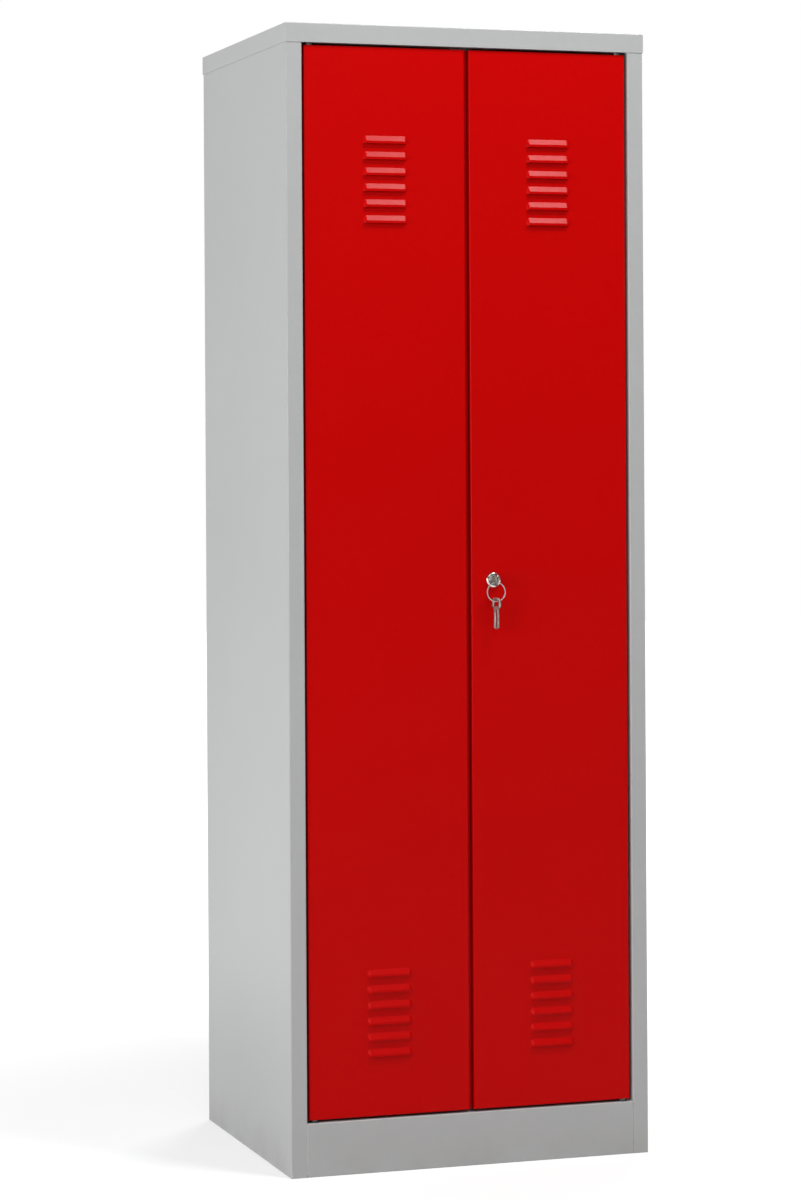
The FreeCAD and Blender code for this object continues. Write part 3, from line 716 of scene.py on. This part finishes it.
def dress_nodes(finish: Finish, *names: str) -> None:
    """Give CAD nodes a finish, and report each.

    Args:
        finish: the finish.
        names: names of the nodes.
    """
    for name in names:
        dress(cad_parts[name], finish)
        LOG.info("%s keeps its CAD shape in %s", name, finish.slot.value)


def settle(piece: bpy.types.Object, finish: Finish, body: str, *nodes: str) -> None:
    """Dress a new piece, let it ride on a body and say what it stands for.

    Args:
        piece: the new piece.
        finish: its finish.
        body: CAD body that carries it.
        nodes: CAD nodes that it replaces.
    """
    dress(piece, finish)
    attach(piece, body)
    if nodes:
        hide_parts(*nodes)
    LOG.info("%s rides on %s, %d faces", piece.name, body, len(piece.data.polygons))


@dataclass(frozen=True)
class CrossScrew:
    """Pan-head screw with a cross recess.

    Sizes are in millimetres. The dome, recess_across and recess_depth are shares of the head's size.
    """

    head_radius: float
    head_height: float
    shank_radius: float
    shank_length: float
    recess_width: float
    recess_across: float = 1.15
    recess_depth: float = 0.9
    dome: Profile = ((0.0, 1.0), (0.45, 0.97), (0.75, 0.8), (0.95, 0.42), (1.0, 0.0))
    steps: int = 24

    def profile(self) -> Profile:
        """Section of the screw from the top of its head to the end of its shank.

        Returns:
            Points (radius, distance along -Y) of an open outline.
        """
        head = [(self.head_radius * out, self.head_height * up) for out, up in self.dome]
        radius, end = self.shank_radius, -self.shank_length
        return [*head, (radius, 0.0), (radius, end), (0.0, end)]

    def model(self, name: str) -> bpy.types.Object:
        """Turn the screw and cut its recess, with the underside of its head at the origin.

        Args:
            name: name of the piece.

        Returns:
            The screw, its head toward -Y.
        """
        screw = Bench.turn(name, self.profile(), False, self.steps)
        across = self.recess_across * self.head_radius
        depth = self.recess_depth * self.head_height
        for size in ((across, depth, self.recess_width), (self.recess_width, depth, across)):
            cutter = Bench.block("recess", FORWARD * self.head_height * MM, Vector(size) * MM)
            Bench.modify(screw, "BOOLEAN", object=cutter, operation="DIFFERENCE", solver="EXACT")
            bpy.data.objects.remove(cutter)
        bpy.ops.object.mode_set(mode="EDIT")
        Bench.close()
        Bench.smooth(screw)
        return screw


@dataclass
class Carcass:
    """Grey carcass: cap, sides, plinth, floor, back, partition and post, with its rivets and door stops.

    Lengths are in metres, apart from the profiles, the rounds and plate_size, which are in millimetres.
    """

    rivet_profile: Profile = ((0.0, 0.3), (0.75, 0.3), (0.9, 0.72), (1.4, 0.78), (2.2, 0.55), (2.8, 0.12),
                              (2.9, -0.1), (0.0, -0.1))
    rivet_inset: float = 7.5 * MM
    rivet_first: float = 0.11
    rivet_last: float = 1.72
    rivet_count: int = 9
    rivet_steps: int = 24
    catch_height: float = 46.0 * MM
    catch_round: float = 1.2
    catch_segments: int = 3
    edge_angle: float = 60.0
    plate_size: Triple = (1.4, 5.0, 34.0)
    plate_spacing: float = 3.4 * MM
    plate_proud: float = 0.8 * MM
    plate_round: float = 0.3
    buffer_radius: float = 4.0 * MM
    buffer_profile: Profile = ((0.0, 10.0), (1.5, 9.95), (2.3, 9.6), (2.8, 8.8), (3.0, 7.6), (3.2, 2.3),
                               (3.8, 2.0), (4.0, 1.6), (4.0, 0.0), (0.0, 0.0))
    buffer_steps: int = 28

    def rivets(self) -> None:
        """Model the rivets in the rear flanges of the sides."""
        rivet = Bench.turn("rear_rivets", self.rivet_profile, False, self.rivet_steps)
        Bench.smooth(rivet)
        low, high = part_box("left_side_panel")[0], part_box("right_side_panel")[1]
        places = [
            facing(Vector((x, high.y, z)), BACKWARD)
            for x in (low.x + self.rivet_inset, high.x - self.rivet_inset)
            for z in spaced(self.rivet_first, self.rivet_last, self.rivet_count)
        ]
        settle(Bench.repeat(rivet, places), GREY_PAINT, "carcass")

    def catches(self) -> None:
        """Model the magnet catches and their two steel pole plates, which stand a little proud."""
        low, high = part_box("magnet_catches")
        middle = (low + high) / 2
        depth = high.y - low.y - self.plate_proud
        size = Vector((high.x - low.x, depth, self.catch_height))
        block = Bench.block("magnet_catch_blocks", Vector((0.0, -depth / 2, 0.0)), size)
        Bench.soften(block, self.catch_round, self.edge_angle, self.catch_segments)
        Bench.smooth(block)
        plate_size = Vector(self.plate_size) * MM
        front = Vector((0.0, plate_size.y / 2 - depth - self.plate_proud, 0.0))
        plate = Bench.block("magnet_pole_plates", front, plate_size)
        Bench.soften(plate, self.plate_round, self.edge_angle)
        Bench.smooth(plate)
        seats = [Vector((middle.x, high.y, z))
                 for z in (low.z + self.catch_height / 2, high.z - self.catch_height / 2)]
        aside = Vector((self.plate_spacing / 2, 0.0, 0.0))
        block_places = [Matrix.Translation(seat) for seat in seats]
        plate_places = [Matrix.Translation(seat + sign * aside) for seat in seats for sign in (-1, 1)]
        settle(Bench.repeat(block, block_places), DARK_PLASTIC, "carcass", "magnet_catches")
        settle(Bench.repeat(plate, plate_places), ZINC_STEEL, "carcass")

    def buffers(self) -> None:
        """Model the domed rubber buffers."""
        buffer = Bench.turn("domed_door_buffers", self.buffer_profile, False, self.buffer_steps)
        Bench.smooth(buffer)
        low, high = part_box("door_buffers")
        inset = self.buffer_radius
        places = [
            facing(Vector((x, high.y, z)), FORWARD)
            for x in (low.x + inset, high.x - inset)
            for z in (low.z + inset, high.z - inset)
        ]
        settle(Bench.repeat(buffer, places), BLACK_RUBBER, "carcass", "door_buffers")

    def build(self) -> None:
        """Model the rivets, the catches and the buffers."""
        self.rivets()
        self.catches()
        self.buffers()

    def dress(self) -> None:
        """Paint the panels."""
        dress_nodes(GREY_PAINT, "top_cap", "plinth", "bottom_panel", "back_panel", "centre_partition",
                    "centre_post", "left_side_panel", "right_side_panel")
        dress_nodes(DARK_PLASTIC, "hinge_bushes")


@dataclass
class Interior:
    """Hat shelves and clothes rails, with the screws that hold the rail sockets."""

    screw: CrossScrew = CrossScrew(
        head_radius=2.4, head_height=1.3, shank_radius=1.2, shank_length=0.6, recess_width=0.7)
    screw_circle: float = 15.2 * MM
    socket_plate: float = 2.0 * MM

    def build(self) -> None:
        """Model two screws in the flange of each rail socket."""
        low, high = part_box("rail_sockets")
        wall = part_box("centre_partition")[1].x
        level = (low.z + high.z) / 2
        faces = (
            (low.x + self.socket_plate, 1.0),
            (-wall - self.socket_plate, -1.0),
            (wall + self.socket_plate, 1.0),
            (high.x - self.socket_plate, -1.0),
        )
        places = [
            facing(Vector((x, 0.0, level + lift)), Vector((out, 0.0, 0.0)))
            for x, out in faces
            for lift in (-self.screw_circle, self.screw_circle)
        ]
        settle(Bench.repeat(self.screw.model("socket_screws"), places), ZINC_STEEL, "carcass")

    def dress(self) -> None:
        """Paint the shelves and plate the rails."""
        for side in Side:
            dress_nodes(GREY_PAINT, f"{side.word}_hat_shelf")
            dress_nodes(ZINC_STEEL, f"{side.word}_clothes_rail")
        dress_nodes(DARK_PLASTIC, "rail_sockets")


@dataclass
class Door:
    """Red door with its stiffener, hinge pins and the spot welds that hold the stiffener.

    Lengths are in metres, apart from the profile, which is in millimetres.
    """

    side: Side
    weld_profile: Profile = ((0.0, 0.02), (1.6, 0.03), (2.1, 0.16), (2.6, 0.18), (3.3, 0.05), (3.5, -0.05),
                             (0.0, -0.05))
    weld_inset: float = 6.0 * MM
    weld_margin: float = 30.0 * MM
    weld_count: int = 10
    weld_steps: int = 20
    sheet: float = 0.8 * MM

    @property
    def body(self) -> str:
        """CAD body of this door."""
        return f"{self.side.word}_door"

    def build(self) -> None:
        """Model the spot welds on both feet of the stiffener."""
        weld = Bench.turn(f"{self.side.word}_stiffener_welds", self.weld_profile, False, self.weld_steps)
        Bench.smooth(weld)
        low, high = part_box(f"{self.side.word}_door_stiffener")
        places = [
            facing(Vector((x, low.y + self.sheet, z)), BACKWARD)
            for x in (low.x + self.weld_inset, high.x - self.weld_inset)
            for z in spaced(low.z + self.weld_margin, high.z - self.weld_margin, self.weld_count)
        ]
        settle(Bench.repeat(weld, places), RED_PAINT, self.body)

    def dress(self) -> None:
        """Paint the door and finish its hinge pieces."""
        word = self.side.word
        dress_nodes(RED_PAINT, f"{word}_door_panel", f"{word}_door_stiffener")
        dress_nodes(ZINC_STEEL, f"{word}_hinge_plates")
        # The hinge pins take the darkened steel, painted shade of the door gap.
        dress_nodes(DARKENED_PIN_STEEL, f"{word}_hinge_pins")
        if self.side is Side.LEFT:
            dress_nodes(RED_PAINT, "closing_strip")


@dataclass
class Lock:
    """Cam lock of the right door: a rosette with a threaded barrel, a plug, a cam, a nut and a screw.

    Sizes are in millimetres.
    """

    bore: float = 6.02
    rosette: Profile = ((6.4, 4.45), (7.3, 4.5), (7.7, 4.9), (8.3, 5.0), (9.6, 5.0), (10.8, 4.6),
                        (11.6, 3.8), (11.95, 2.8), (12.0, 1.6), (12.0, 0.3), (11.8, 0.0))
    bore_front: float = 4.1
    barrel: float = 9.0
    barrel_length: float = 28.0
    barrel_bevel: float = 0.8
    thread_depth: float = 0.55
    thread_pitch: float = 1.25
    thread_start: float = 3.0
    thread_end: float = 1.0
    steps: int = 64
    smooth_angle: float = 35.0
    screw: CrossScrew = CrossScrew(
        head_radius=4.5, head_height=2.5, shank_radius=1.95, shank_length=5.0, recess_width=1.1, steps=32)

    def profile(self) -> Profile:
        """Section of the lock case from the bore's front, round the rosette, to the barrel's end.

        Returns:
            Points (radius, distance along -Y) of a closed outline.
        """
        back = [(self.barrel, 0.0), (self.barrel, -self.thread_start)]
        turns = int((self.barrel_length - self.thread_end - self.thread_start) / self.thread_pitch)
        for number in range(turns):
            root = -self.thread_start - (number + 0.5) * self.thread_pitch
            back.append((self.barrel - self.thread_depth, root))
            back.append((self.barrel, root - 0.5 * self.thread_pitch))
        end = [(self.barrel - self.barrel_bevel, -self.barrel_length), (self.bore, -self.barrel_length)]
        return [(self.bore, self.bore_front), *self.rosette, *back, *end]

    def build(self) -> None:
        """Model the rosette with its barrel, and the screw of the cam."""
        low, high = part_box("lock_housing")
        case = Bench.turn("lock_rosette", self.profile(), True, self.steps)
        door_face = high.y - self.barrel_length * MM
        case.data.transform(Matrix.Translation(((low.x + high.x) / 2, door_face, (low.z + high.z) / 2)))
        Bench.smooth(case, self.smooth_angle)
        settle(case, BRIGHT_METAL, "right_door", "lock_housing")
        low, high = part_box("cam_screw")
        seat = Vector(((low.x + high.x) / 2, high.y - self.screw.head_height * MM, (low.z + high.z) / 2))
        screw = Bench.repeat(self.screw.model("cam_cross_screw"), [facing(seat, BACKWARD)])
        settle(screw, ZINC_STEEL, "lock_barrel", "cam_screw")

    def dress(self) -> None:
        """Plate the plug, the cam and the nut."""
        dress_nodes(BRIGHT_METAL, "lock_plug")
        dress_nodes(ZINC_STEEL, "lock_nut", "lock_cam")


@dataclass
class KeyBunch:
    """Key in the lock and a spare key, on one split ring. Sizes are in millimetres."""

    thickness: float = 2.0
    neck: float = 1.0
    bow_depth: float = 18.0
    bow_height: float = 19.0
    bow_corner: float = 6.0
    bow_segments: int = 8
    bow_rim: float = 4.5
    blade_flat: float = 8.0
    blade_length: float = 31.0
    blade_start: float = 0.5
    tip_length: float = 2.0
    tip_share: float = 0.12
    bit_first: float = 9.0
    bit_pitch: float = 4.5
    bit_half_width: float = 1.6
    bit_depths: tuple[float, ...] = (1.6, 0.9, 1.4, 0.7, 1.3)
    groove_low: float = -0.5
    groove_high: float = 1.3
    groove_depth: float = 0.4
    edge_round: float = 0.25
    edge_angle: float = 35.0
    spare_turn: float = 25.0
    ring_radius: float = 15.0
    ring_radial: float = 1.6
    ring_axial: float = 0.8
    ring_pitch: float = 0.9
    ring_round: float = 0.18
    ring_edge_angle: float = 50.0
    ring_turns: int = 2
    ring_steps: int = 72
    wire_sides: int = 4
    flat_facing: float = 0.9
    end_facing: float = 0.99
    pick_gap: float = 0.05
    rear_gap: float = 0.1

    def bow(self) -> bpy.types.Object:
        """Rounded bow with a hole through it, its rear face ready for the blade.

        Returns:
            The bow, with the lock's face at the origin.
        """
        centre = Vector((0.0, -(self.neck + self.bow_depth / 2) * MM, 0.0))
        size = Vector((self.thickness, self.bow_depth, self.bow_height)) * MM
        key = Bench.block("lock_key_bow_and_blade", centre, size)
        mesh = key.data

        def across(edge: bpy.types.MeshEdge) -> bool:
            """Whether an edge runs through the thickness."""
            ends = [mesh.vertices[number].co for number in edge.vertices]
            return abs(ends[0].x - ends[1].x) > self.pick_gap * MM

        Bench.choose(key, "EDGE", across)
        bpy.ops.mesh.bevel(offset=self.bow_corner * MM, segments=self.bow_segments, affect="EDGES")
        Bench.choose(key, "FACE", lambda face: abs(face.normal.x) > self.flat_facing)
        bpy.ops.mesh.inset(thickness=self.bow_rim * MM, depth=0.0)
        bpy.ops.mesh.bridge_edge_loops()
        bpy.ops.object.mode_set(mode="OBJECT")
        return key

    def blade(self, key: bpy.types.Object) -> None:
        """Draw the blade out of the bow, cut its bits and mill its groove.

        Args:
            key: the bow.
        """
        gap = self.pick_gap * MM
        # The first facet of each rounded corner beside the flat is drawn out with it.
        rear = max(vertex.co.y for vertex in key.data.vertices) - self.rear_gap * MM
        Bench.choose(key, "FACE", lambda face: face.normal.y > self.end_facing and face.center.y > rear)
        bits = [self.bit_first + number * self.bit_pitch for number in range(len(self.bit_depths))]
        stops = [0.0]
        for bit in bits:
            stops += [bit - self.bit_half_width, bit, bit + self.bit_half_width]
        taper = self.blade_length - self.tip_length
        stops.append(taper)
        Bench.extrude(BACKWARD * self.neck * MM)
        flat = self.bow_height - 2 * self.bow_corner
        bpy.ops.transform.resize(value=(1.0, 1.0, self.blade_flat / flat))
        for start, end in zip(stops, stops[1:]):
            Bench.extrude(BACKWARD * (end - start) * MM)
        Bench.extrude(BACKWARD * (self.blade_length - taper) * MM)
        bpy.ops.transform.resize(value=(1.0, 1.0, self.tip_share))
        for bit, depth in zip(bits, self.bit_depths):
            level = bit * MM
            Bench.choose(key, "VERT", lambda vertex: abs(vertex.co.y - level) < gap and vertex.co.z < 0.0)
            bpy.ops.transform.translate(value=(0.0, 0.0, depth * MM))
        blade_start = self.blade_start * MM
        for edge in (self.groove_low, self.groove_high):
            Bench.choose(key, "FACE", lambda face: face.center.y > blade_start)
            bpy.ops.mesh.bisect(plane_co=(0.0, 0.0, edge * MM), plane_no=(0.0, 0.0, 1.0))

        def milled(face: bpy.types.MeshPolygon) -> bool:
            """Whether a face of the blade's flats lies in the groove."""
            between = self.groove_low * MM < face.center.z < self.groove_high * MM
            along = blade_start < face.center.y < taper * MM
            return abs(face.normal.x) > self.flat_facing and between and along

        Bench.choose(key, "FACE", milled)
        bpy.ops.mesh.extrude_region_shrink_fatten(
            TRANSFORM_OT_shrink_fatten={"value": -self.groove_depth * MM})
        Bench.close()

    def ring(self) -> bpy.types.Object:
        """Split ring: flat wire wound twice round.

        Returns:
            The ring, in its place.
        """
        bpy.ops.object.select_all(action="DESELECT")
        start = Vector((self.ring_radius, -self.ring_pitch, 0.0)) * MM
        bpy.ops.mesh.primitive_plane_add(size=1.0, location=start)
        bpy.context.active_object.scale = Vector((self.ring_radial, self.ring_axial, 1.0)) * MM
        wire = Bench.start("split_ring")
        Bench.choose(wire, "FACE", lambda face: True)
        bpy.ops.mesh.delete(type="ONLY_FACE")
        bpy.ops.object.mode_set(mode="OBJECT")
        Bench.modify(wire, "SCREW", axis="Y", angle=math.tau, screw_offset=self.ring_pitch * MM,
                     iterations=self.ring_turns, steps=self.ring_steps, render_steps=self.ring_steps,
                     use_smooth_shade=False)
        bpy.ops.object.mode_set(mode="EDIT")
        bpy.ops.mesh.select_all(action="SELECT")
        bpy.ops.mesh.fill_holes(sides=self.wire_sides)
        Bench.close()
        Bench.soften(wire, self.ring_round, self.ring_edge_angle)
        Bench.smooth(wire)
        low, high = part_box("key_ring")
        wire.data.transform(Matrix.Translation((low + high) / 2))
        return wire

    def build(self) -> None:
        """Model one key and copy it, then wind the ring."""
        key = self.bow()
        self.blade(key)
        Bench.soften(key, self.edge_round, self.edge_angle)
        Bench.smooth(key)
        spare = Bench.copy(key)
        spare.name = spare.data.name = "spare_key_bow_and_blade"
        low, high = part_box("key")
        at_lock = Vector(((low.x + high.x) / 2, high.y - self.blade_length * MM, (low.z + high.z) / 2))
        key.data.transform(Matrix.Translation(at_lock))
        low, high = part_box("spare_key")
        hanging = Vector(((low.x + high.x) / 2, (low.y + high.y) / 2, low.z + self.blade_length * MM))
        blade_down = Matrix.Rotation(-QUARTER_TURN, 4, "X")
        aside = Matrix.Rotation(math.radians(self.spare_turn), 4, "Z")
        spare.data.transform(Matrix.Translation(hanging) @ aside @ blade_down)
        settle(key, KEY_METAL, "key", "key")
        settle(spare, KEY_METAL, "spare_key", "spare_key")
        settle(self.ring(), ZINC_STEEL, "key_ring", "key_ring")

    def dress(self) -> None:
        """Every piece of the bunch is new and has its finish from its making."""


@dataclass
class Lamp:
    """Soft box aimed at a point of the locker."""

    name: str
    place: Triple
    aim: Triple
    size: tuple[float, float]
    power: float

    def build(self) -> None:
        """Hang the soft box."""
        data = bpy.data.lights.new(self.name, "AREA")
        data.shape = "RECTANGLE"
        data.size, data.size_y = self.size
        data.energy = self.power
        lamp = bpy.data.objects.new(self.name, data)
        lamp.location = self.place
        lamp.rotation_mode = "QUATERNION"
        lamp.rotation_quaternion = (Vector(self.aim) - lamp.location).to_track_quat("-Z", "Y")
        bpy.context.scene.collection.objects.link(lamp)


@dataclass
class Studio:
    """Pale floor, white surroundings, soft boxes and the camera of the photograph."""

    camera_place: Triple = (-1.77777, -5.31998, 1.13894)
    focal_pixels: float = 3394.54
    yaw: float = 18.161
    roll: float = -0.317
    axis_row: float = 446.26
    image_height: float = 1200.0
    sensor: float = 36.0
    view_end: float = 100.0
    floor_size: float = 30.0
    floor_colour: Rgb = (0.62, 0.62, 0.62)
    floor_patch_scale: float = 5.0
    floor_patch_shade: float = 0.99
    floor_glow: float = 0.52
    floor_fade: Limits = (0.6, 2.4)
    ambient: float = 0.31
    front_dim: float = 0.10
    backdrop_edge: Limits = (-0.25, 0.3)
    lamps: Sequence[Lamp] = (
        Lamp("high_soft_box", (0.9, -1.5, 3.8), aim=(0.0, -0.25, 1.3), size=(0.7, 0.42), power=57.0),
        Lamp("left_soft_box", (-3.4, -1.4, 1.25), aim=(-0.3, -0.1, 1.1), size=(2.2, 1.1), power=64.0),
        Lamp("front_soft_box", (-0.7, -3.0, 2.7), aim=(0.0, -0.25, 1.5), size=(1.2, 1.2), power=15.0),
        Lamp("rear_soft_box", (1.6, 2.8, 4.0), aim=(0.1, 0.2, 1.0), size=(1.4, 1.0), power=60.0),
    )

    @staticmethod
    def shown_rays(tree: FinishTree) -> Signal:
        """Rays that show the surroundings, directly or in metal and glass.

        Args:
            tree: tree that the nodes are added to.

        Returns:
            1 for such a ray, and 0 for one that lights a surface.
        """
        kinds = [tree.node("ShaderNodeLightPath", output=f"Is {kind} Ray")
                 for kind in ("Camera", "Glossy", "Transmission")]
        return (kinds[0] + kinds[1] + kinds[2]).least(1.0)

    def floor(self) -> None:
        """Lay a large pale floor that shows white away from the locker."""
        bpy.ops.object.select_all(action="DESELECT")
        bpy.ops.mesh.primitive_plane_add(size=self.floor_size, location=(0.0, 0.0, 0.0))
        plane = Bench.start("studio_floor")
        material = bpy.data.materials.new("studio_floor")
        tree = FinishTree(material)
        patches = tree.noise(self.floor_patch_scale, Detail.CLOUDY)
        shade = tree.blend(patches, scaled(self.floor_colour, self.floor_patch_shade), self.floor_colour)
        matt = tree.node("ShaderNodeBsdfDiffuse", None, {"Color": shade})
        away = tree.node("ShaderNodeVectorMath", {"operation": "LENGTH"}, {0: tree.place()}, "Value")
        level = self.floor_glow + (1.0 - self.floor_glow) * away.between(*self.floor_fade)
        glow = tree.node("ShaderNodeEmission", None, {"Strength": self.shown_rays(tree) * level})
        both = tree.node("ShaderNodeAddShader", None, {0: matt, 1: glow})
        tree.end("ShaderNodeOutputMaterial", both)
        plane.data.materials.append(material)

    def surroundings(self) -> None:
        """White to the camera; in metal, white behind the locker and dim before it; a soft ambient light."""
        world = bpy.data.worlds.new("studio")
        bpy.context.scene.world = world
        tree = FinishTree(world)
        toward = tree.node("ShaderNodeTexCoord", output="Generated")
        backward = tree.node("ShaderNodeSeparateXYZ", None, {"Vector": toward}, "Y")
        behind = backward.between(*self.backdrop_edge)
        direct = tree.node("ShaderNodeLightPath", output="Is Camera Ray")
        shown = direct.most(self.front_dim + (1.0 - self.front_dim) * behind)
        seen = self.shown_rays(tree)
        strength = seen * shown + (1.0 - seen) * self.ambient
        light = tree.node("ShaderNodeBackground", None, {"Color": (*WHITE, 1.0), "Strength": strength})
        tree.end("ShaderNodeOutputWorld", light)

    def camera(self) -> None:
        """Set the camera that the photograph was fitted with."""
        data = bpy.data.cameras.new("photo_camera")
        data.sensor_width = self.sensor
        data.lens = self.focal_pixels / self.image_height * self.sensor
        data.shift_y = (self.axis_row - self.image_height / 2) / self.image_height
        data.clip_end = self.view_end
        level = Matrix.Rotation(QUARTER_TURN, 4, "X")
        yaw = Matrix.Rotation(math.radians(-self.yaw), 4, "Z")
        roll = Matrix.Rotation(math.radians(self.roll), 4, "Z")
        camera = bpy.data.objects.new("photo_camera", data)
        camera.matrix_world = Matrix.Translation(self.camera_place) @ yaw @ level @ roll
        bpy.context.scene.collection.objects.link(camera)
        bpy.context.scene.camera = camera

    def build(self) -> None:
        """Set up the studio."""
        bpy.context.scene.view_settings.view_transform = "Standard"
        self.floor()
        self.surroundings()
        self.camera()
        for lamp in self.lamps:
            lamp.build()
            LOG.info("%s hangs at %s", lamp.name, lamp.place)


def main() -> None:
    """Build and dress every sub-assembly, then set up the studio."""
    logging.basicConfig(level=logging.INFO, format="%(name)s: %(message)s")
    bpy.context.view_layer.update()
    for assembly in (Carcass(), Interior(), Door(Side.LEFT), Door(Side.RIGHT), Lock(), KeyBunch()):
        assembly.build()
        assembly.dress()
    Studio().build()


if __name__ == "__main__":
    main()
